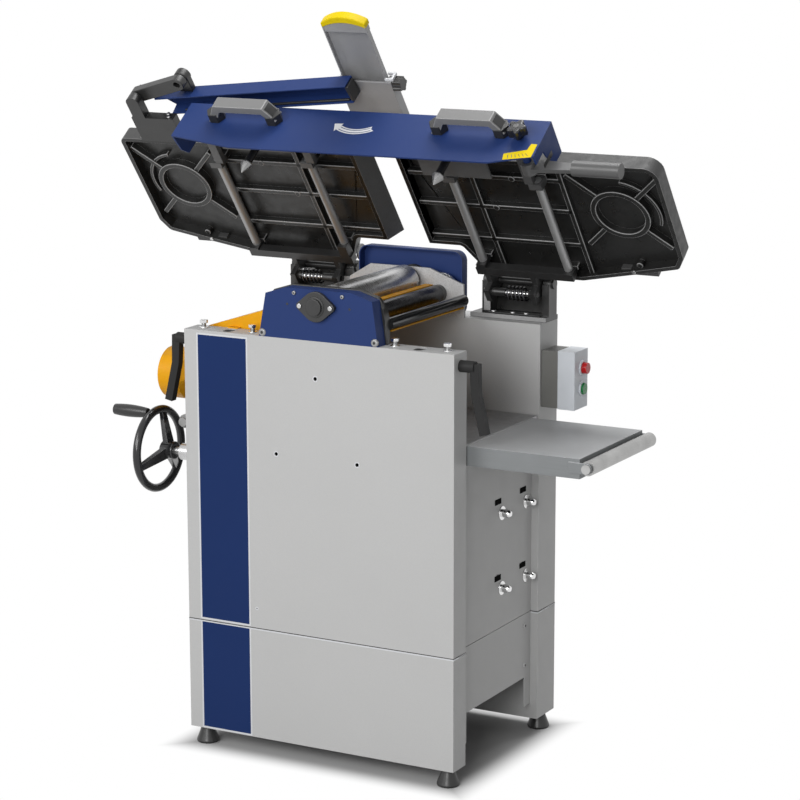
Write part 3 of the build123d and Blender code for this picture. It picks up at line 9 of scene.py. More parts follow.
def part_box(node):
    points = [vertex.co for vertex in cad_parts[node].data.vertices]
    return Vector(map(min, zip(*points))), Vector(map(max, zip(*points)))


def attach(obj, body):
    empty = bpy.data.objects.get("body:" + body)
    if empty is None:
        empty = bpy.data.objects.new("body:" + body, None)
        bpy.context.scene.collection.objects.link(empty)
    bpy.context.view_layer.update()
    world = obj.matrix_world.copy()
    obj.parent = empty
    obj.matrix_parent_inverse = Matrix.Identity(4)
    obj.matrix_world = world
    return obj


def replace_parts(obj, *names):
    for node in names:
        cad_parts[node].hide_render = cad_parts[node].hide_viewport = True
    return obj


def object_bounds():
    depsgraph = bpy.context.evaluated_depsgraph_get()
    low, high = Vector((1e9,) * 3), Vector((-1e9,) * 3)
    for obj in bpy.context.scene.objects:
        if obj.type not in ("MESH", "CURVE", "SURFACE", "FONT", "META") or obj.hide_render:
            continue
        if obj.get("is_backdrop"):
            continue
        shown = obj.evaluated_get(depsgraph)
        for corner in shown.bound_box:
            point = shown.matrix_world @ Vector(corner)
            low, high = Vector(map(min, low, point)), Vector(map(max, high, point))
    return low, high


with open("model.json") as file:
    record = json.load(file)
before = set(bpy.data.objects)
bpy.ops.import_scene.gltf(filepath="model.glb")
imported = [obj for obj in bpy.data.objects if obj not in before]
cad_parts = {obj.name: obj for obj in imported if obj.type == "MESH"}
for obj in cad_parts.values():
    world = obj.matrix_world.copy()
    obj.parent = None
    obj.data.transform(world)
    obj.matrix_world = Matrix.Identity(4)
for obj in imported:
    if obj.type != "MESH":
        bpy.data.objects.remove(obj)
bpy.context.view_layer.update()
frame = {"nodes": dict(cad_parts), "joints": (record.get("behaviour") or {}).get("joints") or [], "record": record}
mm = 0.001


# The frame's places
def joint(name):
    """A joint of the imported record."""
    return next(j for j in frame["joints"] if j["name"] == name)


hinge = Vector(joint("tables_lift")["pos_m"])
tilt = radians(joint("tables_lift")["range_deg"][1])
table_out = Vector((0, sin(tilt), cos(tilt)))
table_back = Vector((0, cos(tilt), -sin(tilt)))
tables = Matrix((
    (1, 0, 0, hinge.x),
    (0, -table_back.y, table_out.y, hinge.y),
    (0, -table_back.z, table_out.z, hinge.z),
    (0, 0, 0, 1),
))
cabinet_low, cabinet_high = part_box("cabinet_front_box")
front_face = cabinet_low.y
right_face = cabinet_high.x
rear_low, rear_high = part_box("cabinet_rear_box")


# Materials
class Nodes:
    """A node tree that is filled step by step."""

    def __init__(self, name):
        self.material = bpy.data.materials.new(name)
        self.material.use_nodes = True
        self.tree = self.material.node_tree
        self.tree.nodes.clear()
        self.out = self.add("ShaderNodeOutputMaterial")
        self.shader = self.add("ShaderNodeBsdfPrincipled")
        self.link(self.shader, "BSDF", self.out, "Surface")
        self.place = self.add("ShaderNodeTexCoord")

    def add(self, kind, **settings):
        node = self.tree.nodes.new(kind)
        for key, value in settings.items():
            setattr(node, key, value)
        return node

    def link(self, a, output, b, entry):
        self.tree.links.new(a.outputs[output], b.inputs[entry])

    def noise(self, scale, detail=3.0, stretch=(1, 1, 1), rough=0.55):
        """Noise at a scale per metre, drawn out along an axis where stretch is small."""
        mapping = self.add("ShaderNodeMapping")
        mapping.inputs["Scale"].default_value = stretch
        self.link(self.place, "Object", mapping, "Vector")
        node = self.add("ShaderNodeTexNoise")
        node.inputs["Scale"].default_value = scale
        node.inputs["Detail"].default_value = detail
        node.inputs["Roughness"].default_value = rough
        self.link(mapping, "Vector", node, "Vector")
        return node

    def span(self, source, output, low, high, start=0.3, end=0.7):
        """Maps a texture's value between start and end to low and high."""
        node = self.add("ShaderNodeMapRange")
        node.inputs["From Min"].default_value = start
        node.inputs["From Max"].default_value = end
        node.inputs["To Min"].default_value = low
        node.inputs["To Max"].default_value = high
        self.link(source, output, node, "Value")
        return node

    def blend(self, source, output, first, second):
        """A colour between two by a texture's value."""
        ramp = self.add("ShaderNodeValToRGB")
        ramp.color_ramp.elements[0].position = 0.3
        ramp.color_ramp.elements[1].position = 0.7
        ramp.color_ramp.elements[0].color = (*first, 1)
        ramp.color_ramp.elements[1].color = (*second, 1)
        self.link(source, output, ramp, "Fac")
        return ramp

    def mix(self, fac, output, a, a_out, b, b_out, mode="MIX"):
        """Mixes two colours by a value."""
        node = self.add("ShaderNodeMix", data_type="RGBA", blend_type=mode)
        self.link(fac, output, node, 0)
        self.tree.links.new(a.outputs[a_out], node.inputs[6])
        self.tree.links.new(b.outputs[b_out], node.inputs[7])
        return node

    def bump(self, source, output, strength, depth):
        node = self.add("ShaderNodeBump")
        node.inputs["Strength"].default_value = strength
        node.inputs["Distance"].default_value = depth
        self.link(source, output, node, "Height")
        self.link(node, "Normal", self.shader, "Normal")
        return node

    def set(self, **values):
        for key, value in values.items():
            self.shader.inputs[key.replace("_", " ")].default_value = value


def shade(colour, factor):
    """A colour made lighter or darker."""
    return tuple(min(1.0, channel * factor) for channel in colour)


def painted(name, colour, rough=0.42, peel=0.25, vary=0.05, gloss=0.5):
    """Powder coat: even colour, slight clouds, orange peel and a dull edge shine."""
    made = Nodes(name)
    clouds = made.noise(5.0, 4.0)
    specks = made.noise(900.0, 2.0)
    base = made.blend(clouds, "Fac", shade(colour, 1 - vary), shade(colour, 1 + vary))
    fine = made.blend(specks, "Fac", shade(colour, 0.93), shade(colour, 1.07))
    fac = made.span(clouds, "Fac", 0.35, 0.55)
    both = made.mix(fac, "Result", base, "Color", fine, "Color")
    made.link(both, 2, made.shader, "Base Color")
    roughness = made.span(made.noise(40.0, 5.0), "Fac", rough - 0.05, rough + 0.07)
    made.link(roughness, "Result", made.shader, "Roughness")
    made.bump(made.noise(650.0, 2.0), "Fac", peel, 0.12 * mm)
    made.set(Coat_Weight=0.24 * gloss, Coat_Roughness=0.28, Specular_IOR_Level=gloss)
    return made.material


def cast(name, colour, rough=0.5, grain=0.5, metal=0.0):
    """Coated or bare casting: speckled, with a sand grain."""
    made = Nodes(name)
    speck = made.noise(700.0, 4.0)
    clouds = made.noise(9.0, 4.0)
    one = made.blend(speck, "Fac", shade(colour, 0.6), shade(colour, 1.5))
    two = made.blend(clouds, "Fac", shade(colour, 0.8), shade(colour, 1.25))
    fac = made.span(speck, "Fac", 0.25, 0.75)
    both = made.mix(fac, "Result", one, "Color", two, "Color")
    made.link(both, 2, made.shader, "Base Color")
    roughness = made.span(made.noise(60.0, 5.0), "Fac", rough - 0.1, rough + 0.12)
    made.link(roughness, "Result", made.shader, "Roughness")
    made.bump(speck, "Fac", grain, 0.25 * mm)
    made.set(Metallic=metal)
    return made.material


def brushed(name, colour, rough=0.3, along=0, lines=900.0, depth=0.2, metal=1.0):
    """Metal with fine lines along one axis."""
    made = Nodes(name)
    stretch = [1.0, 1.0, 1.0]
    stretch[along] = 0.012
    hair = made.noise(lines, 3.0, tuple(stretch), 0.7)
    clouds = made.noise(14.0, 4.0)
    one = made.blend(hair, "Fac", shade(colour, 0.86), shade(colour, 1.1))
    two = made.blend(clouds, "Fac", shade(colour, 0.9), shade(colour, 1.06))
    fac = made.span(clouds, "Fac", 0.3, 0.7)
    both = made.mix(fac, "Result", one, "Color", two, "Color")
    made.link(both, 2, made.shader, "Base Color")
    roughness = made.span(hair, "Fac", rough - 0.08, rough + 0.1)
    made.link(roughness, "Result", made.shader, "Roughness")
    made.bump(hair, "Fac", depth, 0.05 * mm)
    made.set(Metallic=metal, Anisotropic=0.4)
    return made.material


def turned(name, colour, rough=0.25, along=1):
    """Turned metal: rings across its axis."""
    made = Nodes(name)
    stretch = [0.02, 0.02, 0.02]
    stretch[along] = 1.0
    rings = made.noise(1500.0, 2.0, tuple(stretch), 0.6)
    clouds = made.noise(20.0, 3.0)
    base = made.blend(clouds, "Fac", shade(colour, 0.88), shade(colour, 1.08))
    made.link(base, "Color", made.shader, "Base Color")
    roughness = made.span(rings, "Fac", rough - 0.07, rough + 0.1)
    made.link(roughness, "Result", made.shader, "Roughness")
    made.bump(rings, "Fac", 0.15, 0.04 * mm)
    made.set(Metallic=1.0)
    return made.material


def plastic(name, colour, rough=0.4, grain=0.2, grain_scale=1400.0, glow=0.0, gloss=0.5):
    """Moulded plastic with a fine leathery grain."""
    made = Nodes(name)
    clouds = made.noise(12.0, 3.0)
    base = made.blend(clouds, "Fac", shade(colour, 0.92), shade(colour, 1.08))
    made.link(base, "Color", made.shader, "Base Color")
    roughness = made.span(made.noise(90.0, 4.0), "Fac", rough - 0.07, rough + 0.08)
    made.link(roughness, "Result", made.shader, "Roughness")
    made.bump(made.noise(grain_scale, 2.0), "Fac", grain, 0.08 * mm)
    made.set(Subsurface_Weight=glow, Subsurface_Scale=3 * mm, Specular_IOR_Level=gloss)
    return made.material


grey_paint = painted("grey_paint", (0.47, 0.47, 0.467), 0.5, 0.2, 0.025)
blue_paint = painted("blue_paint", (0.014, 0.034, 0.132), 0.5, 0.3, 0.08, 0.18)
stripe_blue = painted("stripe_blue", (0.009, 0.026, 0.105), 0.55, 0.1, 0.05, 0.1)
stripe_light = painted("stripe_light", (0.62, 0.63, 0.65), 0.4, 0.05)
black_paint = painted("black_paint", (0.018, 0.018, 0.018), 0.38, 0.35, 0.15)
gloss_black = painted("gloss_black", (0.012, 0.012, 0.013), 0.16, 0.05, 0.1)
black_cast = cast("black_cast", (0.012, 0.012, 0.0115), 0.34, 0.4)
# Lighter grey for the bevel faces of castings and handles: a painted highlight where rounded edges catch light
cast_edge_painted_highlight = cast("cast_edge_painted_highlight", (0.26, 0.26, 0.26), 0.3, 0.2)
cast_side = cast("cast_side", (0.042, 0.042, 0.042), 0.5, 0.6)
gunmetal = brushed("gunmetal", (0.30, 0.30, 0.30), 0.3, 0)
dark_plate = painted("dark_plate", (0.07, 0.07, 0.07), 0.4)
satin_grey = cast("satin_grey", (0.30, 0.30, 0.30), 0.45, 0.15)
rail_grey = painted("rail_grey", (0.16, 0.16, 0.16), 0.4)
iron = cast("machined_iron", (0.34, 0.34, 0.345), 0.42, 0.12, 0.6)
zinc = brushed("zinc", (0.21, 0.22, 0.225), 0.45, 0, 900.0, 0.12, 0.25)
steel = turned("steel", (0.58, 0.58, 0.58), 0.24)
dark_steel = turned("dark_steel", (0.10, 0.10, 0.105), 0.28)
bright_steel = turned("bright_steel", (0.62, 0.62, 0.62), 0.3)
# Lighter copy of the zinc for upward faces: painted light on the extension table's top
zinc_painted_light_top = brushed("zinc_painted_light_top", (0.50, 0.51, 0.52), 0.5, 0, 900.0, 0.1, 0.15)
lever_black = painted("lever_black", (0.022, 0.022, 0.022), 0.55, 0.2, 0.1, 0.15)
roller_steel = turned("roller_steel", (0.40, 0.40, 0.395), 0.4)
screw_steel = turned("screw_steel", (0.30, 0.30, 0.30), 0.35)
chrome = turned("chrome", (0.74, 0.74, 0.74), 0.14)
pale_plate = cast("pale_plate", (0.46, 0.46, 0.46), 0.45, 0.1)
tube_steel = brushed("tube_steel", (0.34, 0.34, 0.34), 0.42, 0, 900.0, 0.15, 0.6)
aluminium = brushed("aluminium", (0.31, 0.31, 0.315), 0.5, 1, 900.0, 0.12, 0.35)
black_plastic = plastic("black_plastic", (0.02, 0.02, 0.02), 0.34, 0.25)
grip_grey = plastic("grip_grey", (0.11, 0.11, 0.11), 0.3, 0.1)
amber = plastic("amber_plastic", (0.78, 0.36, 0.006), 0.4, 0.1, 900.0, 0.05, 0.2)
yellow = plastic("yellow_plastic", (0.68, 0.51, 0.002), 0.45, 0.1, 1400.0, 0.0, 0.12)
light_plastic = plastic("light_plastic", (0.64, 0.67, 0.71), 0.4, 0.15)
dark_cover = plastic("dark_cover", (0.17, 0.17, 0.16), 0.4, 0.15, 1400.0, 0.0, 0.25)
red = plastic("red_plastic", (0.50, 0.006, 0.008), 0.25, 0.05)
green = plastic("green_plastic", (0.006, 0.20, 0.05), 0.28, 0.05)
# Near-black matte for slot openings: painted shade inside them
hole_painted_shade = plastic("hole_painted_shade", (0.003, 0.003, 0.003), 0.85, 0.05, 1400.0, 0.0, 0.03)
rubber = plastic("rubber", (0.018, 0.018, 0.018), 0.6, 0.4, 900.0)
motor_paint = painted("motor_paint", (0.08, 0.08, 0.09), 0.45)

slots = {
    "painted_grey": grey_paint, "painted_blue": blue_paint, "painted_black": black_paint,
    "black_casting": black_cast, "machined_iron": iron, "zinc_sheet": zinc, "steel": steel,
    "aluminium": aluminium, "black_plastic": black_plastic, "amber_plastic": amber,
    "yellow_plastic": yellow, "light_plastic": light_plastic, "red_plastic": red,
    "green_plastic": green, "motor_paint": motor_paint, "belt_rubber": rubber,
}
slot_of = {row["node"]: row["material_slot"] for row in frame["record"]["subparts"]}
body_of = {node: body for body, nodes in frame["record"]["behaviour"]["bodies"].items() for node in nodes}
special = {
    "tie_bar": gloss_black, "infeed_roller": dark_steel, "outfeed_roller": dark_steel,
    "cutterblock": bright_steel, "planer_knives": bright_steel, "table_tubes": tube_steel,
    "switch_cover": light_plastic, "switch_base": dark_cover, "rest_plates": dark_plate, "depth_lever": dark_plate,
    "left_clamp_lever": lever_black, "right_clamp_lever": lever_black, "hinge_springs": dark_steel, "cabinet_fasteners": screw_steel,
    "rear_end_plate": pale_plate, "extension_roller": roller_steel, "outfeed_end_roller": roller_steel,
}
for node, thing in frame["nodes"].items():
    thing.data.materials.clear()
    thing.data.materials.append(special.get(node, slots[slot_of[node]]))


# Pieces
def finish_piece(thing, body, slot, material=None, bevel=0.0, segments=2, smooth=True, edge=None):
    """Gives a mesh object its body, its material (the slot's own when none is given) and rounded edges."""
    thing.data.materials.clear()
    thing.data.materials.append(material or slots[slot])
    if smooth:
        for face in thing.data.polygons:
            face.use_smooth = True
    if bevel:
        rounding = thing.modifiers.new("edges", "BEVEL")
        rounding.width = bevel
        rounding.segments = segments
        rounding.limit_method = "ANGLE"
        rounding.angle_limit = radians(32)
        rounding.miter_outer = "MITER_ARC"
        # A given edge material goes on the bevel faces: a painted highlight along the rounded edges
        if edge:
            thing.data.materials.append(edge)
            rounding.material = 1
    if smooth:
        evening = thing.modifiers.new("even", "WEIGHTED_NORMAL")
        evening.weight = 100
        evening.keep_sharp = False
    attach(thing, body)
    return thing


def from_mesh(name, work):
    """A new object from a bmesh, at the origin."""
    mesh = bpy.data.meshes.new(name)
    work.to_mesh(mesh)
    work.free()
    thing = bpy.data.objects.new(name, mesh)
    bpy.context.scene.collection.objects.link(thing)
    return thing


def soften(node, bevel, material=None, segments=2):
    """A copy of a rigid node with joined faces and rounded edges, in its place."""
    work = bmesh.new()
    work.from_mesh(frame["nodes"][node].data)
    bmesh.ops.remove_doubles(work, verts=work.verts, dist=0.002 * mm)
    bmesh.ops.dissolve_limit(work, angle_limit=radians(0.4), verts=work.verts, edges=work.edges)
    bmesh.ops.recalc_face_normals(work, faces=work.faces)
    thing = from_mesh(node + "_finished", work)
    slot = slot_of[node]
    chosen = material or special.get(node) or slots[slot]
    finish_piece(thing, body_of[node], slot, chosen, bevel, segments)
    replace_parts(thing, node)
    return thing


def place(work, matrix):
    """Moves a finished bmesh into the machine's frame."""
    if matrix is not None:
        bmesh.ops.transform(work, matrix=matrix, verts=work.verts)
    bmesh.ops.recalc_face_normals(work, faces=work.faces)


def add_box(work, low, high):
    """A box between two corners, added to a mesh that is being made."""
    corners = [work.verts.new((x, y, z)) for x in (low[0], high[0]) for y in (low[1], high[1]) for z in (low[2], high[2])]
    for face in ((0, 1, 3, 2), (4, 6, 7, 5), (0, 4, 5, 1), (2, 3, 7, 6), (0, 2, 6, 4), (1, 5, 7, 3)):
        work.faces.new([corners[i] for i in face])


def add_prism(work, outline, low, high, axes="xyz"):
    """An outline drawn out between two heights; axes names where its three coordinates go."""
    order = ["xyz".index(letter) for letter in axes]
    loops = []
    for height in (low, high):
        loop = []
        for a, b in outline:
            spot = [0.0, 0.0, 0.0]
            for value, slot_index in zip((a, b, height), order):
                spot[slot_index] = value
            loop.append(work.verts.new(spot))
        loops.append(loop)
        work.faces.new(loop)
    count = len(outline)
    for i in range(count):
        work.faces.new((loops[0][i], loops[0][(i + 1) % count], loops[1][(i + 1) % count], loops[1][i]))


def add_ring(work, outer, inner, low, high):
    """A wall between two outlines with the same count of points."""
    loops = [[work.verts.new((a, b, height)) for a, b in line] for line in (outer, inner) for height in (low, high)]
    count = len(outer)
    for first, second in ((0, 1), (1, 3), (3, 2), (2, 0)):
        for i in range(count):
            j = (i + 1) % count
            work.faces.new((loops[first][i], loops[first][j], loops[second][j], loops[second][i]))


def circle(x, y, radius, count=48, start=0.0):
    """Points of a circle."""
    return [(x + radius * cos(start + 2 * pi * i / count), y + radius * sin(start + 2 * pi * i / count))
            for i in range(count)]


def lathe(work, profile, origin, axis, steps=40):
    """Turns (distance along the axis, radius) points round an axis."""
    axis = Vector(axis).normalized()
    side = axis.orthogonal().normalized()
    other = axis.cross(side)
    rings = []
    for along, radius in profile:
        rings.append([work.verts.new(Vector(origin) + axis * along
                                     + (side * cos(2 * pi * i / steps) + other * sin(2 * pi * i / steps)) * radius)
                      for i in range(steps)])
    for first, second in zip(rings, rings[1:]):
        for i in range(steps):
            work.faces.new((first[i], first[(i + 1) % steps], second[(i + 1) % steps], second[i]))
    work.faces.new(rings[0])
    work.faces.new(rings[-1])


def piece(name, work, body, slot, material=None, bevel=0.0, matrix=None, edge=None, segments=2):
    """Ends a mesh that was made step by step."""
    place(work, matrix)
    return finish_piece(from_mesh(name, work), body, slot, material, bevel, segments, edge=edge)


def slab(name, low, high, body, slot, material=None, bevel=0.0, matrix=None, edge=None):
    """A plate between two corners, in the machine's or another frame."""
    work = bmesh.new()
    add_box(work, low, high)
    return piece(name, work, body, slot, material, bevel, matrix, edge)


def turning(name, profile, origin, axis, body, slot, material=None, bevel=0.0, steps=40):
    """A turned piece."""
    work = bmesh.new()
    lathe(work, profile, origin, axis, steps)
    return piece(name, work, body, slot, material, bevel)


for node, bevel in {
    "stand_front_box": 1.6, "stand_rear_box": 1.6, "cabinet_front_box": 1.6, "cabinet_rear_box": 1.6,
    "side_panels": 0.6, "front_end_plate": 0.9, "rear_guard_plate": 0.8, "front_bearing_block": 1.2,
    "rear_end_plate": 0.8, "bearing_units": 1.0, "hinge_brackets": 1.2,
    "hinge_arms": 1.2, "front_bar": 0.7, 
    "rest_plates": 0.6, "guard_mount": 1.6, "guard_link": 2.0, "guard_carriage": 0.7,
    "guard_bridge": 0.5, "thicknesser_table": 1.2, "extension_table": 1.6,
    "dust_hood": 0.7, "switch_base": 1.5, "switch_cover": 2.0, "left_clamp_lever": 2.0,
    "right_clamp_lever": 2.0, "lift_bracket": 1.5,
    "guide_rods": 0.8, "depth_lever": 1.0, "guard_knob": 1.2, "stop_button": 1.0,
    "start_button": 0.6, "motor": 1.5, 
}.items():
    thing = soften(node, bevel * mm)
    # Upward faces of the extension table take the lighter zinc: painted light on its top
    if node == "extension_table":
        thing.data.materials.append(zinc_painted_light_top)
        for face in thing.data.polygons:
            if face.normal.z > 0.9:
                face.material_index = 1

for node in ("cutterblock", "planer_knives", "infeed_roller", "outfeed_roller", "tie_bar", "table_tubes",
             "crank_grip", "hinge_springs", "extension_roller", "outfeed_end_roller",
             "left_latch_rod", "right_latch_rod", "crank_shaft", "motor_pulley", "lift_screw"):
    for face in frame["nodes"][node].data.polygons:
        face.use_smooth = True

# Blue stripe down the front, in two parts with a light border
stripe_left = cabinet_low.x + 28 * mm
stripe_right = stripe_left + 98 * mm
border = 3 * mm
film = 0.35 * mm
stand_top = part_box("stand_front_box")[1].z
for name, low, high in (("stripe_upper", stand_top + 5 * mm, cabinet_high.z - 8 * mm),
                        ("stripe_lower", 36 * mm, stand_top - 3 * mm)):
    slab(name + "_border", (stripe_left - border, front_face - film / 2, low - border),
         (stripe_right + border, front_face, high + border), "cabinet", "painted_grey", stripe_light)
    slab(name, (stripe_left, front_face - film, low), (stripe_right, front_face - film / 4, high),
         "cabinet", "painted_blue", stripe_blue)

# Light rims of the threaded holes in the front, and the slot at the foot of the throat
for index, (x, z) in enumerate(((-1, 690), (-80, 551), (80, 549), (-123, 269))):
    work = bmesh.new()
    radius = 3.4 if z > 300 else 1.2
    add_ring(work, circle(x * mm, z * mm, (radius + 1.8) * mm, 24), circle(x * mm, z * mm, radius * mm, 24),
             0, 0.3 * mm)
    flat = Matrix(((1, 0, 0, 0), (0, 0, -1, front_face), (0, 1, 0, 0), (0, 0, 0, 1)))
    piece(f"hole_rim_{index}", work, "cabinet", "painted_grey", stripe_light, 0, flat)
    # The small hole gets a black disc: painted shade inside it
    if z < 300:
        turning("small_hole", [(0, radius * mm), (0.2 * mm, radius * mm)], (x * mm, front_face, z * mm), (0, -1, 0),
                "cabinet", "black_plastic", black_plastic, 0, 16)
# A black strip for the slot: painted shade inside it
slab("throat_slot", (123 * mm, rear_low.y - 0.3 * mm, 583 * mm), (246 * mm, rear_low.y, 588 * mm),
     "cabinet", "black_plastic", black_plastic)

def islands(node):
    """The corners of the box round each separate solid of a node."""
    work = bmesh.new()
    work.from_mesh(frame["nodes"][node].data)
    bmesh.ops.remove_doubles(work, verts=work.verts, dist=0.002 * mm)
    left = set(work.verts)
    found = []
    while left:
        group, edge = [], [left.pop()]
        while edge:
            vert = edge.pop()
            group.append(vert.co.copy())
            for link in vert.link_edges:
                other = link.other_vert(vert)
                if other in left:
                    left.discard(other)
                    edge.append(other)
        found.append(tuple(tuple(fit(co[i] for co in group) for i in range(3)) for fit in (min, max)))
    work.free()
    return [(Vector(low), Vector(high)) for low, high in sorted(found)]


# Feet: rubber cones under the stand
stand_low, stand_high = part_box("stand_front_box")
for index, (low, high) in enumerate(islands("feet")):
    reach = (high.x - low.x) / 2
    tall = stand_low.z - low.z
    cone = [(0, 0.93 * reach), (2 * mm, reach), (5 * mm, reach), (0.75 * tall, 0.64 * reach), (tall, 0.6 * reach)]
    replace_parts(turning(f"foot_{index}", cone, ((low.x + high.x) / 2, (low.y + high.y) / 2, low.z), (0, 0, 1),
                        body_of["feet"], slot_of["feet"], black_plastic, 0.8 * mm, 40), "feet")

# Seam between the stand and the cabinet: a dark gap over a light strip, the painted highlight of the stand's top edge
for node, where in (("stand_front_box", "front"), ("stand_rear_box", "rear")):
    low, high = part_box(node)
    # The first strip is a painted highlight on the stand's top edge; the second is the dark gap
    for name, bottom, top, material in (("seam_edge", -3.4, -0.8, stripe_light), ("seam_gap", -0.8, 0.8, black_plastic)):
        loops = [[(low.x - out, low.y - out), (high.x + out, low.y - out), (high.x + out, high.y + out),
                  (low.x - out, high.y + out)] for out in (0.25 * mm, -0.5 * mm)]
        work = bmesh.new()
        add_ring(work, loops[0], loops[1], high.z + bottom * mm, high.z + top * mm)
        piece(f"{name}_{where}", work, "cabinet", "painted_grey", material)

# Screws and nuts: bolts on the cabinet's top, cap nuts on the right panel, button heads on the front
panel_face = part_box("side_panels")[1].x
for index, (low, high) in enumerate(islands("cabinet_fasteners")):
    middle = (low + high) / 2
    if high.z - low.z > 20 * mm:
        spot, way = (middle.x, middle.y, cabinet_high.z), (0, 0, 1)
        parts = (([(0, 8), (1.6, 8)], 24, chrome), ([(1, 4), (8, 4)], 20, screw_steel), ([(8, 7.4), (13.6, 7.4)], 6, chrome))
    elif high.x - low.x > 20 * mm:
        spot, way = (panel_face, middle.y, middle.z), (1, 0, 0)
        parts = (([(0, 12.5), (1.8, 12.5)], 32, chrome),
                 ([(1, 7.5), (10, 7.5), (15, 6.6), (18.3, 4.2), (19.4, 1)], 32, chrome))
    else:
        reach = (high.x - low.x) / 2 / mm
        spot, way = (middle.x, high.y, middle.z), (0, -1, 0)
        # The black hexagon is painted shade in the button head's socket
        parts = (([(0, reach), (3, reach), (5, 0.75 * reach)], 32, screw_steel),
                 ([(4.6, 0.42 * reach), (5.2, 0.42 * reach)], 6, black_plastic))
    for number, (profile, steps, material) in enumerate(parts):
        made = turning(f"fastener_{index}_{number}", [(a * mm, b * mm) for a, b in profile], spot, way,
                       body_of["cabinet_fasteners"], slot_of["cabinet_fasteners"], material, 0.5 * mm, steps)
        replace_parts(made, "cabinet_fasteners")

# Slots beside the cap nuts, as near-black plates for the painted shade inside them, and the two screws of the stand's
# panel
for index, (y, z) in enumerate(((-6, 463), (91.5, 464), (-6, 326), (91.5, 327))):
    slab(f"panel_slot_{index}", (panel_face, (y - 12) * mm, (z - 5) * mm),
         (panel_face + 0.4 * mm, (y + 12) * mm, (z + 5) * mm), "cabinet", "black_plastic", hole_painted_shade)
for index, z in enumerate((212, 138.5)):
    turning(f"stand_screw_{index}", [(0, 5.5 * mm), (1 * mm, 5.5 * mm), (2.4 * mm, 4 * mm)],
            (panel_face, 102 * mm, z * mm), (1, 0, 0), "cabinet", "steel", pale_plate, 0.4 * mm, 24)
    # Black hexagon in each screw head: painted shade in its socket
    turning(f"stand_socket_{index}", [(2 * mm, 2.4 * mm), (2.7 * mm, 2.4 * mm)],
            (panel_face, 102 * mm, z * mm), (1, 0, 0), "cabinet", "black_plastic", black_plastic, 0, 6)

# Round bosses where the feed rollers run in the end plates
for index, (low, high) in enumerate(islands("journal_blocks")):
    middle = (low + high) / 2
    side = -1 if middle.y > 0 else 1
    spot = (middle.x, high.y if side < 0 else low.y, middle.z)
    made = turning(f"journal_boss_{index}", [(0, 16 * mm), (11 * mm, 16 * mm), (13.5 * mm, 13 * mm)], spot, (0, side, 0),
                   body_of["journal_blocks"], slot_of["journal_blocks"], dark_plate, 0.8 * mm, 40)
    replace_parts(made, "journal_blocks")

# Cast tables
cutter_x = 4 * mm
infeed_tubes = ((148, 60, 270), (312, 45, 265))
outfeed_tubes = ((-129, 77, 283), (-323, 56, 269))
rim_low, plate_low, plate_top = -3 * mm, 16 * mm, 26 * mm


def rounded(outline, radii, steps=6):
    """An outline with its corners rounded."""
    made = []
    count = len(outline)
    for i, corner in enumerate(outline):
        corner = Vector(corner)
        before = (Vector(outline[i - 1]) - corner).normalized()
        after = (Vector(outline[(i + 1) % count]) - corner).normalized()
        radius = radii[i]
        if radius == 0:
            made.append(tuple(corner))
            continue
        half = before.angle(after) / 2
        reach = radius / math_tan(half)
        middle = corner + (before + after).normalized() * radius / sin(half)
        start = corner + before * reach - middle
        end = corner + after * reach - middle
        for step in range(steps + 1):
            part = start.lerp(end, step / steps).normalized() * radius
            made.append(tuple(middle + part))
    return made


def math_tan(angle):
    return sin(angle) / cos(angle)


def inset(outline, distance):
    """An outline moved inwards, to the left of its direction."""
    count = len(outline)
    made = []
    for i in range(count):
        a, b, c = (Vector(outline[j % count]) for j in (i - 1, i, i + 1))
        first, second = (b - a).normalized(), (c - b).normalized()
        one, two = Vector((-first.y, first.x)), Vector((-second.y, second.x))
        bisector = (one + two).normalized()
        made.append(tuple(b + bisector * distance / max(0.3, bisector.dot(one))))
    return made


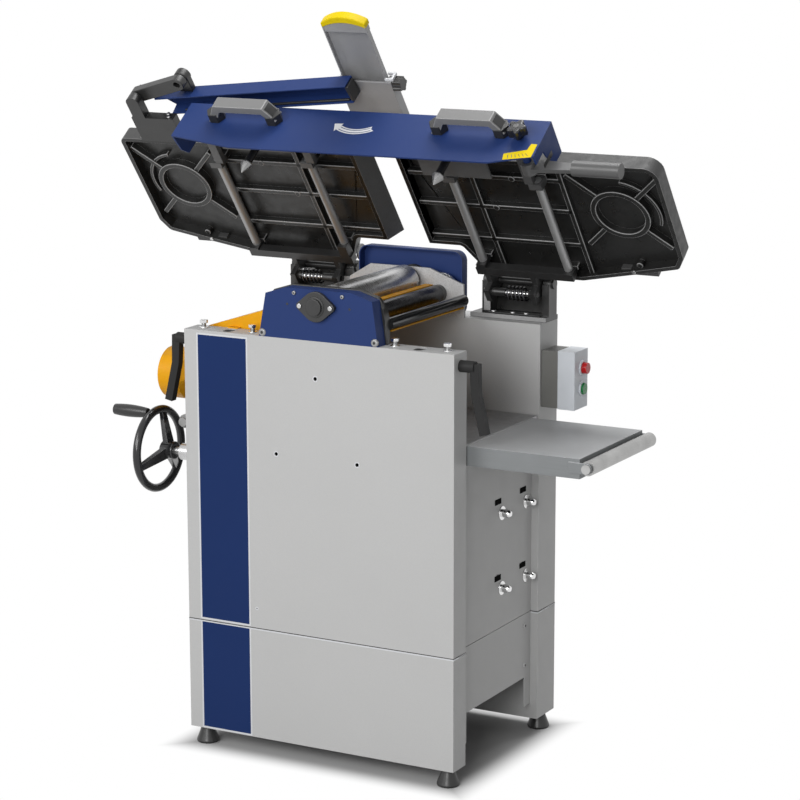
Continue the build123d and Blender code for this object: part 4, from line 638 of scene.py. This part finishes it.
pocket_u, pocket_v = 437, 184
skin = 0.4 * mm
for name, side, tubes in (("infeed_table", 1, infeed_tubes), ("outfeed_table", -1, outfeed_tubes)):
    body = body_of[name]
    outline = rounded(((42, 84), (107, 84), (140, 18.5), (325, 18.5), (455, 50), (517, 66), (530.5, 92),
                       (530.5, 300), (42, 300)), (0, 10, 10, 20, 20, 12, 12, 25 if side > 0 else 12, 2))
    inner = inset(outline, 8)
    frame_side = Matrix.Translation((0, 0, 0)) @ Matrix(((side * mm, 0, 0, cutter_x), (0, mm, 0, 0), (0, 0, 1, 0),
                                                         (0, 0, 0, 1)))
    wall = bmesh.new()
    add_ring(wall, outline, inner, rim_low, plate_top - skin)
    # Its bevel faces carry a painted highlight along the rim's edges
    thing = piece(name + "_wall", wall, body, "black_casting", black_cast, 1.6 * mm, tables @ frame_side, cast_edge_painted_highlight)
    thing.data.materials.append(cast_side)
    for face in thing.data.polygons[:len(outline)]:
        face.material_index = 2
    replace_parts(thing, name)
    plate = bmesh.new()
    add_prism(plate, inset(outline, 7), plate_low, plate_top - skin)
    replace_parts(piece(name + "_plate", plate, body, "black_casting", black_cast, 0, tables @ frame_side), name)
    ground = bmesh.new()
    add_prism(ground, outline, plate_top - skin, plate_top)
    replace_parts(piece(name + "_ground_face", ground, body, "machined_iron", iron, 0, tables @ frame_side), name)

    lip = bmesh.new()
    add_prism(lip, ((50, rim_low), (42, rim_low), (22, plate_top - 2 * mm), (22, plate_top), (50, plate_top)),
              84, 300, "xzy")
    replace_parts(piece(name + "_lip", lip, body, "black_casting", cast_side, 0.8 * mm, tables @ frame_side), name)

    ribs = bmesh.new()
    for v in (250, 178, 98):
        add_box(ribs, (49, v - 4.5, 5 * mm), (346, v + 4.5, plate_low + 1 * mm))
    for u in (172, 342):
        add_box(ribs, (u - 4.5, 26 + max(0, 120 - u), 5 * mm), (u + 4.5, 293, plate_low + 1 * mm))
    for angle, reach in ((45, 122), (135, 118), (225, 112), (315, 108)):
        for start, end in ((50, reach),):
            c, d = cos(radians(angle)), sin(radians(angle))
            far_u, far_v = pocket_u + c * end, pocket_v + d * end
            near_u, near_v = pocket_u + c * start, pocket_v + d * start
            add_prism(ribs, [(near_u - d * 4.5, near_v + c * 4.5), (near_u + d * 4.5, near_v - c * 4.5),
                             (far_u + d * 4.5, far_v - c * 4.5), (far_u - d * 4.5, far_v + c * 4.5)],
                      3 * mm, plate_low + 1 * mm)
    add_ring(ribs, circle(pocket_u, pocket_v, 54), circle(pocket_u, pocket_v, 44), rim_low + 3 * mm, plate_low)
    arc = [(pocket_u + r * cos(radians(t)), pocket_v + r * sin(radians(t)))
           for r, turn in ((74, 1), (68, -1)) for t in list(range(-20, 81, 10))[::turn]]
    add_prism(ribs, arc, 6 * mm, plate_low)
    for x, rear, front in tubes:
        u = abs(x - 4) if side > 0 else abs(x) + 4
        for v0, v1 in ((rear - 8, rear), (front - 12, front)):
            add_box(ribs, (u - 10, v0, 4.4 * mm if side > 0 else 1 * mm), (u + 10, v1, plate_low + 1 * mm))
    for u, v in ((250, 250), (200, 178), (440, 60)):
        add_prism(ribs, circle(u, v, 6, 20), 3.5 * mm, plate_low)
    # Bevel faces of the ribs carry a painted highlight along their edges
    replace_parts(piece(name + "_ribs", ribs, body, "black_casting", black_cast, 1.3 * mm, tables @ frame_side,
                      cast_edge_painted_highlight), name)
    bowl = bmesh.new()
    add_prism(bowl, circle(pocket_u, pocket_v, 44), 12.5 * mm, plate_low)
    # Bevel faces of the pocket floor carry a painted highlight
    piece(name + "_pocket_floor", bowl, body, "black_casting", black_cast, 1 * mm, tables @ frame_side, cast_edge_painted_highlight)
    lug = bmesh.new()
    add_box(lug, (402, 36, 4 * mm), (470, 50, 16 * mm))
    piece(name + "_lug", lug, body, "black_casting", cast_side, 1 * mm, tables @ frame_side)
    for index, u in enumerate((165, 300, 430)):
        spot = tables @ Vector((cutter_x + side * u * mm, (24 if u < 400 else 52) * mm, -6 * mm))
        turning(f"{name}_screw_{index}", [(0, 3.6 * mm), (3 * mm, 3.6 * mm)], spot, table_out, body, "steel", steel,
                0.6 * mm, 20)

# Handles on the bar: bent square tube, open at one end, on hexagonal feet
for name, x in (("left_handle", -196), ("right_handle", 242)):
    work = bmesh.new()
    path = ((-70, 401), (-50, 438), (50, 438), (70, 410), (60, 402), (44, 424), (-41, 424), (-54, 401))
    add_prism(work, [((x + a) * mm, b * mm) for a, b in path], -52.5 * mm, -27.5 * mm)
    # Bevel faces of the tube carry a painted highlight along its edges
    tube = piece(name + "_tube", work, "tables", "black_plastic", rail_grey, 1.2 * mm, tables, cast_edge_painted_highlight)
    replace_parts(tube, "bar_handles")
    # A black plate in the tube's open end: painted shade inside the tube
    work = bmesh.new()
    add_prism(work, [((x + a) * mm, b * mm) for a, b in ((52.9, 433.9), (66.8, 414.4), (67.2, 414.7), (53.3, 434.2))],
              -49 * mm, -31 * mm)
    piece(name + "_mouth", work, "tables", "black_plastic", black_plastic, 0, tables)
    for foot, centre in (("left", -58), ("right", 58)):
        work = bmesh.new()
        add_prism(work, circle((x + centre) * mm, -40 * mm, 16 * mm, 6), 400 * mm, 418 * mm, "xzy")
        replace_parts(piece(f"{name}_{foot}_foot", work, "tables", "black_plastic", black_plastic, 1 * mm, tables),
                    "bar_handles")

# Star knob of the depth setting
work = bmesh.new()
star = [(334 * mm + (14.5 + 3 * cos(5 * t)) * mm * cos(t), -46 * mm + (14.5 + 3 * cos(5 * t)) * mm * sin(t))
        for t in (2 * pi * i / 60 for i in range(60))]
add_prism(work, star, 406 * mm, 424 * mm, "xzy")
add_prism(work, circle(334 * mm, -46 * mm, 8 * mm, 24), 400 * mm, 407 * mm, "xzy")
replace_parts(piece("star_knob_cap", work, "star_knob", "black_plastic", gloss_black, 2.4 * mm, tables), "star_knob")
turning("star_knob_screw", [(0, 5 * mm), (1 * mm, 5 * mm)], tables @ Vector((334 * mm, 423.6 * mm, -46 * mm)),
        -table_back, "star_knob", "black_plastic", dark_plate, 0.3 * mm, 24)

# Lock pins with a silver collar and a faceted point
for name, x in (("left", -185), ("right", 190)):
    top = tables @ Vector((x * mm, 352 * mm, -40 * mm))
    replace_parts(turning(f"{name}_lock_pin", [(0, 11 * mm), (6 * mm, 11 * mm), (6 * mm, 7 * mm), (60 * mm, 7 * mm)],
                        top, -table_out, "tables", "steel", gloss_black, 0.6 * mm), "lock_pins")
    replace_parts(turning(f"{name}_pin_point", [(58 * mm, 8 * mm), (62 * mm, 11 * mm), (82 * mm, 1 * mm)],
                        top, -table_out, "tables", "steel", gunmetal, 0.4 * mm, 8), "lock_pins")
    turning(f"{name}_pin_collar", [(9 * mm, 10.5 * mm), (10 * mm, 12 * mm), (13 * mm, 12 * mm), (14 * mm, 10.5 * mm)],
            top, -table_out, "tables", "steel", bright_steel, 0.4 * mm)

# Yellow depth scale with black ticks, and the white curved arrow on the bar
work = bmesh.new()
scale = ((324, -102), (372, -92.5), (372, -62), (361, -62), (359, -76), (321, -88))
add_prism(work, [(a * mm, b * mm) for a, b in scale], 400 * mm, 400.4 * mm, "xzy")
piece("depth_scale", work, "tables", "yellow_plastic", yellow, 0, tables)
for index in range(6):
    x = 329 + index * 6
    slant = 2.5 + index * 0.6
    work = bmesh.new()
    add_prism(work, [(a * mm, b * mm) for a, b in ((x, -90 + index), (x + 1, -90 + index), (x + slant + 1, -98 + index * 1.6),
                                                   (x + slant, -98 + index * 1.6))], 400.3 * mm, 400.6 * mm, "xzy")
    piece(f"scale_tick_{index}", work, "tables", "black_plastic", black_plastic, 0, tables)


def band(radius_out, radius_in, start, end, head):
    """A curved arrow: an arc with a head at its start and a notched tail."""
    turn = [start + (end - start) * i / 16 for i in range(17)]
    middle = (radius_out + radius_in) / 2
    points = [(radius_out * cos(t), radius_out * sin(t)) for t in turn]
    points.append((middle * cos(end - 0.05), middle * sin(end - 0.05)))
    points += [(radius_in * cos(t), radius_in * sin(t)) for t in reversed(turn)]
    if head:
        points += [((radius_in - 5) * cos(start), (radius_in - 5) * sin(start)),
                   (middle * cos(start - 0.22), middle * sin(start - 0.22)),
                   ((radius_out + 5) * cos(start), (radius_out + 5) * sin(start))]
    return [((24 + a) * mm, (8 + b) * mm) for a, b in points]


for name, shape, low, high, material in (
        ("arrow_white", band(70, 58, radians(240), radians(302), True), 400, 400.3, stripe_light),
        ("arrow_line", band(67.5, 66.3, radians(243), radians(299), False), 400.2, 400.5, blue_paint),
        ("arrow_line_low", band(61.7, 60.5, radians(243), radians(299), False), 400.2, 400.5, blue_paint)):
    work = bmesh.new()
    add_prism(work, shape, low * mm, high * mm, "xzy")
    piece(name, work, "tables", "painted_blue", material, 0, tables)

# Slot in the bar's right cheek: a black plate, painted shade inside the slot
slab("cheek_slot", (375.4 * mm, 352 * mm, -70 * mm), (375.8 * mm, 362 * mm, -34 * mm), "tables", "black_plastic",
     black_plastic, 0, tables)

# Guard arm: open blue channel with a slanted left end, its black hub and end frame
arm_turn = radians(7.2)
arm = tables @ Matrix.Translation((-430 * mm, 386 * mm, 12 * mm)) @ Matrix.Rotation(arm_turn, 4, "Z")
arm_length = 424 * mm
work = bmesh.new()
add_prism(work, ((-14 * mm, 0), (arm_length, 0), (arm_length, -38 * mm), (26 * mm, -38 * mm)), 26 * mm, 29 * mm)
add_prism(work, ((10 * mm, 0), (arm_length, 0), (arm_length, 27 * mm), (-10 * mm, 27 * mm)), 0, -2.5 * mm, "xzy")
add_prism(work, ((30 * mm, 0), (arm_length, 0), (arm_length, 27 * mm), (26 * mm, 27 * mm)), -35.5 * mm, -38 * mm,
          "xzy")
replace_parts(piece("guard_arm_channel", work, "guard_arm", "painted_blue", blue_paint, 0.7 * mm, arm), "guard_arm")
work = bmesh.new()
add_box(work, (arm_length - 3 * mm, -34 * mm, 1 * mm), (arm_length + 4 * mm, -3 * mm, 26 * mm))
add_box(work, (60 * mm, -35 * mm, 3 * mm), (arm_length - 8 * mm, -31 * mm, 7 * mm))
piece("guard_arm_frame", work, "guard_arm", "painted_blue", black_paint, 1 * mm, arm)
hub = tables @ Vector((-354 * mm, 427 * mm, 24.5 * mm))
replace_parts(turning("guard_arm_hub", [(0, 14 * mm), (16 * mm, 14 * mm)], hub, table_out, "guard_arm", "black_casting",
                    black_cast, 2 * mm), "guard_arm")
work = bmesh.new()
add_box(work, (-368 * mm, 397 * mm, 25 * mm), (-340 * mm, 427 * mm, 38 * mm))
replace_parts(piece("guard_arm_block", work, "guard_arm", "black_casting", black_cast, 1.5 * mm, tables), "guard_arm")
for name, u, v, w, body in (("link_bolt_near", -354, 427, 40, "guard_arm"), ("link_bolt_far", -453, 394, 29, "guard_link")):
    spot = tables @ Vector((u * mm, v * mm, w * mm))
    turning(name, [(0, 8 * mm), (5 * mm, 8 * mm)], spot, table_out, body, "black_casting", dark_plate, 1 * mm, 6)
slab("guard_mount_plate", (-478 * mm, 304.2 * mm, -3 * mm), (-400 * mm, 305.4 * mm, 22 * mm), "tables", "machined_iron",
     pale_plate, 0.6 * mm, tables)
for index, (x, w) in enumerate(((-392, -4), (-396, 3), (-456, -4), (-430, 10))):
    spot = tables @ Vector((x * mm, 360 * mm if w < 5 else 304 * mm, w * mm))
    turning(f"mount_screw_{index}", [(0, 3.6 * mm), (3.5 * mm, 3.6 * mm)], spot, -table_back, "tables", "steel",
            bright_steel, 0.8 * mm, 20)

# Bridge: curved end with the yellow cap, grooved edges and the silver clips of the carriage
steps = [i / 12 - 1 for i in range(25)]
outer = [((9.5 + 42.8 * t) * mm, (550 + 14 * (1 - t * t)) * mm) for t in steps]
inner_arc = [((9.5 + 42.8 * t) * mm, (540 + 11 * (1 - t * t)) * mm) for t in steps]
work = bmesh.new()
add_prism(work, outer + inner_arc[::-1], 45.5 * mm, 62.6 * mm)
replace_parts(piece("bridge_cap", work, "guard_bridge", "yellow_plastic", yellow, 2 * mm, tables, segments=3),
            "guard_end_cap")
work = bmesh.new()
add_prism(work, [((9.5 + 42.2 * t) * mm, (541 + 11 * (1 - t * t)) * mm) for t in steps]
          + [(51.5 * mm, 530 * mm), (-32.5 * mm, 530 * mm)], 47 * mm, 59 * mm)
piece("bridge_end", work, "guard_bridge", "aluminium", aluminium, 0.8 * mm, tables)
# Dark strips along the edges stand for the grooves: painted shade in them
work = bmesh.new()
for x in (-31.5, -28.8, 47.8, 50.5):
    lift = 0.0 if abs(x - 9.5) > 40 else 1.6
    add_box(work, ((x - 0.7) * mm, 272 * mm, (54.6 + lift) * mm), ((x + 0.7) * mm, 540 * mm, (57 + lift) * mm))
piece("bridge_grooves", work, "guard_bridge", "aluminium", dark_plate, 0.2 * mm, tables)
work = bmesh.new()
for x0, x1, hook in ((-42, -30.5, -34.5), (50, 66, 55)):
    add_box(work, (x0 * mm, 425 * mm, 45 * mm), (x1 * mm, 430 * mm, 48 * mm))
    add_box(work, (x0 * mm, 425 * mm, 60 * mm), (x1 * mm, 430 * mm, 63.5 * mm))
    add_box(work, ((x0 if x0 < 0 else x1 - 4) * mm, 425 * mm, 47.5 * mm),
            ((x0 + 4 if x0 < 0 else x1) * mm, 430 * mm, 60.5 * mm))
piece("carriage_clips", work, "guard_arm", "steel", stripe_light, 0.5 * mm, tables)

# Hinges: a black block behind the springs, painted shade in the hinge's inside, light base plates, cap screws and a bar
# on the left
for side, where in ((-1, "left"), (1, "right")):
    inner_x, outer_x = (133 * side * mm, 251 * side * mm)
    low_x, high_x = min(inner_x, outer_x), max(inner_x, outer_x)
    # A black block fills the space behind the springs: painted shade in the hinge's inside
    slab(where + "_hinge_painted_shade_block", (low_x, 192 * mm, 763 * mm), (high_x, 198 * mm, 829 * mm), "cabinet",
         "black_casting", black_cast, 1.5 * mm)
    slab(where + "_hinge_floor", (low_x + 16 * mm * (side > 0), 152 * mm, 763 * mm), (high_x - 16 * mm * (side < 0), 160 * mm, 766 * mm),
         "cabinet", "black_casting", cast_side, 1.5 * mm)
    slab(where + "_hinge_plate", (min(116 * side, 265 * side) * mm, 148.5 * mm, 755.5 * mm),
         (max(116 * side, 265 * side) * mm, 150.2 * mm, 763 * mm), "cabinet", "machined_iron", satin_grey, 0.4 * mm)
    slab(where + "_cheek_face", (min(150 * side, 137 * side) * mm, 160 * mm, 766 * mm),
         (max(150 * side, 137 * side) * mm, 162.3 * mm, 806 * mm), "cabinet", "machined_iron", satin_grey, 1 * mm)
    for index, x in enumerate((158, 196, 222)):
        turning(f"{where}_hinge_screw_{index}", [(0, 5 * mm), (5 * mm, 5 * mm)], (side * x * mm, 158 * mm, 763 * mm),
                (0, 0, 1), "cabinet", "steel", bright_steel, 1 * mm, 24)
for index, z in enumerate((812,)):
    turning(f"latch_bar_{index}", [(0, 4 * mm), (34 * mm, 4 * mm)], (-246 * mm, 160 * mm, z * mm), (1, 0, 0),
            "cabinet", "steel", bright_steel, 0.8 * mm, 24)

# Black trim behind the blue front plate
work = bmesh.new()
trim = rounded(((-104.5, 0), (-104.5, 77.5), (-64.5, 90), (67, 90), (109, 77.5), (121, 0)), (0, 6, 6, 10, 14, 0))
add_prism(work, [(cutter_x + a * mm, 755 * mm + b * mm) for a, b in trim], -171.4 * mm, -163 * mm, "xzy")
piece("block_trim", work, "cabinet", "painted_black", black_paint, 1.5 * mm)
# Black discs for the plate's holes: painted shade inside them
for index, x in enumerate((-55, 67)):
    turning(f"plate_hole_{index}", [(0, 2.2 * mm), (0.3 * mm, 2.2 * mm)], (x * mm, front_face, 815 * mm), (0, -1, 0),
            "cabinet", "black_plastic", black_plastic, 0, 16)
for index, side in enumerate((-1, 1)):
    turning(f"flange_screw_{index}", [(8 * mm, 4.2 * mm), (10.5 * mm, 4.2 * mm)],
            (cutter_x + side * 30 * mm, front_face, 815 * mm), (0, -1, 0), "cabinet", "steel", steel, 0.8 * mm, 24)
turning("cap_ring", [(8 * mm, 18.5 * mm), (10 * mm, 17 * mm), (10.5 * mm, 16 * mm)], (cutter_x, front_face, 815 * mm),
        (0, -1, 0), "cabinet", "painted_black", black_paint, 0.5 * mm, 48)

# Slotted grey link behind the cutter unit
work = bmesh.new()
add_ring(work, [(175 * mm + a * mm, 851 * mm + b * mm) for a, b in circle(0, 0, 15, 32)],
         [(175 * mm + a * mm, 851 * mm + b * mm) for a, b in circle(0, 0, 5, 32)], -124 * mm, -120 * mm)
turned_link = Matrix(((0, 0, 1, 0), (1, 0, 0, 0), (0, 1, 0, 0), (0, 0, 0, 1)))
piece("slotted_link", work, "tables", "machined_iron", satin_grey, 0.8 * mm, turned_link)

# Handwheel: round rim, three tapered spokes and the hub
wheel_low, wheel_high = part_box("handwheel")
wheel = Vector((-337 * mm, (front_face + 22.5 * mm), 529 * mm))
work = bmesh.new()
rim_steps, tube_steps = 72, 16
rings = []
for i in range(rim_steps):
    turn = 2 * pi * i / rim_steps
    out = Vector((0, cos(turn), sin(turn)))
    rings.append([work.verts.new(wheel + out * 70.5 * mm + (out * cos(2 * pi * j / tube_steps)
                  + Vector((1, 0, 0)) * sin(2 * pi * j / tube_steps)) * 7.4 * mm) for j in range(tube_steps)])
for i in range(rim_steps):
    for j in range(tube_steps):
        work.faces.new((rings[i][j], rings[(i + 1) % rim_steps][j], rings[(i + 1) % rim_steps][(j + 1) % tube_steps],
                        rings[i][(j + 1) % tube_steps]))
for angle in (80, 200, 320):
    out = Vector((0, cos(radians(angle)), sin(radians(angle))))
    flat = Vector((0, -out.z, out.y))
    corners = []
    for reach, dish, half, thick in ((8, 20, 11, 6), (67, 1, 6.5, 4)):
        centre = wheel + out * reach * mm + Vector((dish * mm, 0, 0))
        corners += [work.verts.new(centre + flat * a * half * mm + Vector((b * thick * mm, 0, 0)))
                    for a, b in ((-1, -1), (1, -1), (1, 1), (-1, 1))]
    for face in ((0, 1, 2, 3), (7, 6, 5, 4), (0, 4, 5, 1), (1, 5, 6, 2), (2, 6, 7, 3), (3, 7, 4, 0)):
        work.faces.new([corners[i] for i in face])
lathe(work, [(8 * mm, 12 * mm), (10 * mm, 16 * mm), (34 * mm, 16 * mm), (36 * mm, 14 * mm)], wheel, (1, 0, 0), 40)
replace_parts(piece("handwheel_cast", work, "crank", "black_plastic", gloss_black, 2 * mm, None, None, 3), "handwheel")

# Vents of the switch box
# Black strips for the vent slits: painted shade inside them
for index in range(5):
    slab(f"switch_vent_{index}", ((270 + 5 * index) * mm, 140 * mm, 708.8 * mm), ((272 + 5 * index) * mm, 176 * mm, 709.3 * mm),
         "cabinet", "black_plastic", black_plastic)

# Camera at the photograph's place
camera_data = bpy.data.cameras.new("camera")
camera = bpy.data.objects.new("camera", camera_data)
bpy.context.scene.collection.objects.link(camera)
camera_data.sensor_width = 36.0
camera_data.lens = 119.1
camera_data.clip_end = 100.0
camera.matrix_world = (
    Matrix.Translation((2.2436, -3.9938, 1.5628))
    @ Matrix.Rotation(radians(28.73), 4, "Z")
    @ Matrix.Rotation(radians(90 - 11.66), 4, "X")
    @ Matrix.Rotation(radians(-0.10), 4, "Z")
)
bpy.context.scene.camera = camera

# Floor
work = bmesh.new()
bmesh.ops.create_grid(work, x_segments=1, y_segments=1, size=30.0)
floor = from_mesh("floor", work)
floor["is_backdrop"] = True
paper = Nodes("paper")
paper.set(Roughness=1.0)
paper.shader.inputs["Specular IOR Level"].default_value = 0.0
paper.shader.inputs["Base Color"].default_value = (0.5, 0.5, 0.5, 1)
glow = paper.add("ShaderNodeEmission")
glow.inputs["Color"].default_value = (1, 1, 1, 1)
glow.inputs["Strength"].default_value = 1.0
rays = paper.add("ShaderNodeLightPath")


def reckon(operation, first, second=0.0):
    """A sum of node outputs and numbers."""
    node = paper.add("ShaderNodeMath", operation=operation)
    for entry, value in zip(node.inputs, (first, second)):
        if isinstance(value, float):
            entry.default_value = value
        else:
            paper.tree.links.new(value, entry)
    return node.outputs[0]


# White beyond the stand, with its shadow left under it
axes = paper.add("ShaderNodeSeparateXYZ")
paper.link(paper.place, "Object", axes, 0)
rear_stand_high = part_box("stand_rear_box")[1]
beyond = []
for letter, low, high in (("X", stand_low.x, stand_high.x), ("Y", stand_low.y, rear_stand_high.y)):
    offset = reckon("SUBTRACT", axes.outputs[letter], (low + high) / 2)
    beyond.append(reckon("SUBTRACT", reckon("ABSOLUTE", offset), (high - low) / 2))
far = paper.add("ShaderNodeMapRange", interpolation_type="SMOOTHSTEP")
for key, value in (("From Min", -0.02), ("From Max", 0.05), ("To Min", 0.0), ("To Max", 1.0)):
    far.inputs[key].default_value = value
paper.tree.links.new(reckon("MAXIMUM", *beyond), far.inputs["Value"])
seen = paper.add("ShaderNodeMath", operation="MAXIMUM")
paper.link(rays, "Is Camera Ray", seen, 0)
paper.link(rays, "Is Glossy Ray", seen, 1)
share = paper.add("ShaderNodeMath", operation="MULTIPLY")
paper.link(seen, 0, share, 0)
paper.link(far, 0, share, 1)
both = paper.add("ShaderNodeMixShader")
paper.link(share, 0, both, "Fac")
paper.tree.links.new(paper.shader.outputs[0], both.inputs[1])
paper.tree.links.new(glow.outputs[0], both.inputs[2])
paper.link(both, 0, paper.out, "Surface")
floor.data.materials.append(paper.material)

# World: white to the camera and to gloss, dimmer as light on the object
world = bpy.data.worlds.new("studio")
bpy.context.scene.world = world
world.use_nodes = True
sky = world.node_tree
sky.nodes.clear()
background = sky.nodes.new("ShaderNodeBackground")
sky_out = sky.nodes.new("ShaderNodeOutputWorld")
path = sky.nodes.new("ShaderNodeLightPath")
either = sky.nodes.new("ShaderNodeMath")
either.operation = "MAXIMUM"
third = sky.nodes.new("ShaderNodeMath")
third.operation = "MAXIMUM"
level = sky.nodes.new("ShaderNodeMapRange")
sky.links.new(path.outputs["Is Camera Ray"], either.inputs[0])
sky.links.new(path.outputs["Is Glossy Ray"], either.inputs[1])
sky.links.new(either.outputs[0], third.inputs[0])
sky.links.new(path.outputs["Is Transmission Ray"], third.inputs[1])
sky.links.new(third.outputs[0], level.inputs["Value"])
level.inputs["To Min"].default_value = 0.24
level.inputs["To Max"].default_value = 1.0
background.inputs["Color"].default_value = (1, 1, 1, 1)
sky.links.new(level.outputs[0], background.inputs["Strength"])
sky.links.new(background.outputs[0], sky_out.inputs["Surface"])


def lamp(name, place, aim, size, power):
    """A soft box that looks at a point."""
    data = bpy.data.lights.new(name, "AREA")
    data.shape = "RECTANGLE"
    data.size, data.size_y = size
    data.energy = power
    thing = bpy.data.objects.new(name, data)
    bpy.context.scene.collection.objects.link(thing)
    thing.location = place
    thing.rotation_euler = (Vector(aim) - Vector(place)).to_track_quat("-Z", "Y").to_euler()
    return thing


lamp("key", (-1.6, -3.6, 2.4), (0, 0, 0.6), (1.8, 1.8), 70)
lamp("front", (0.9, -4.2, 1.8), (0, 0, 0.5), (1.8, 1.8), 80)
lamp("top", (0.2, 0.6, 3.4), (0, 0, 0.8), (1.6, 1.6), 65)

bpy.context.scene.view_settings.view_transform = "Standard"

low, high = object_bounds()
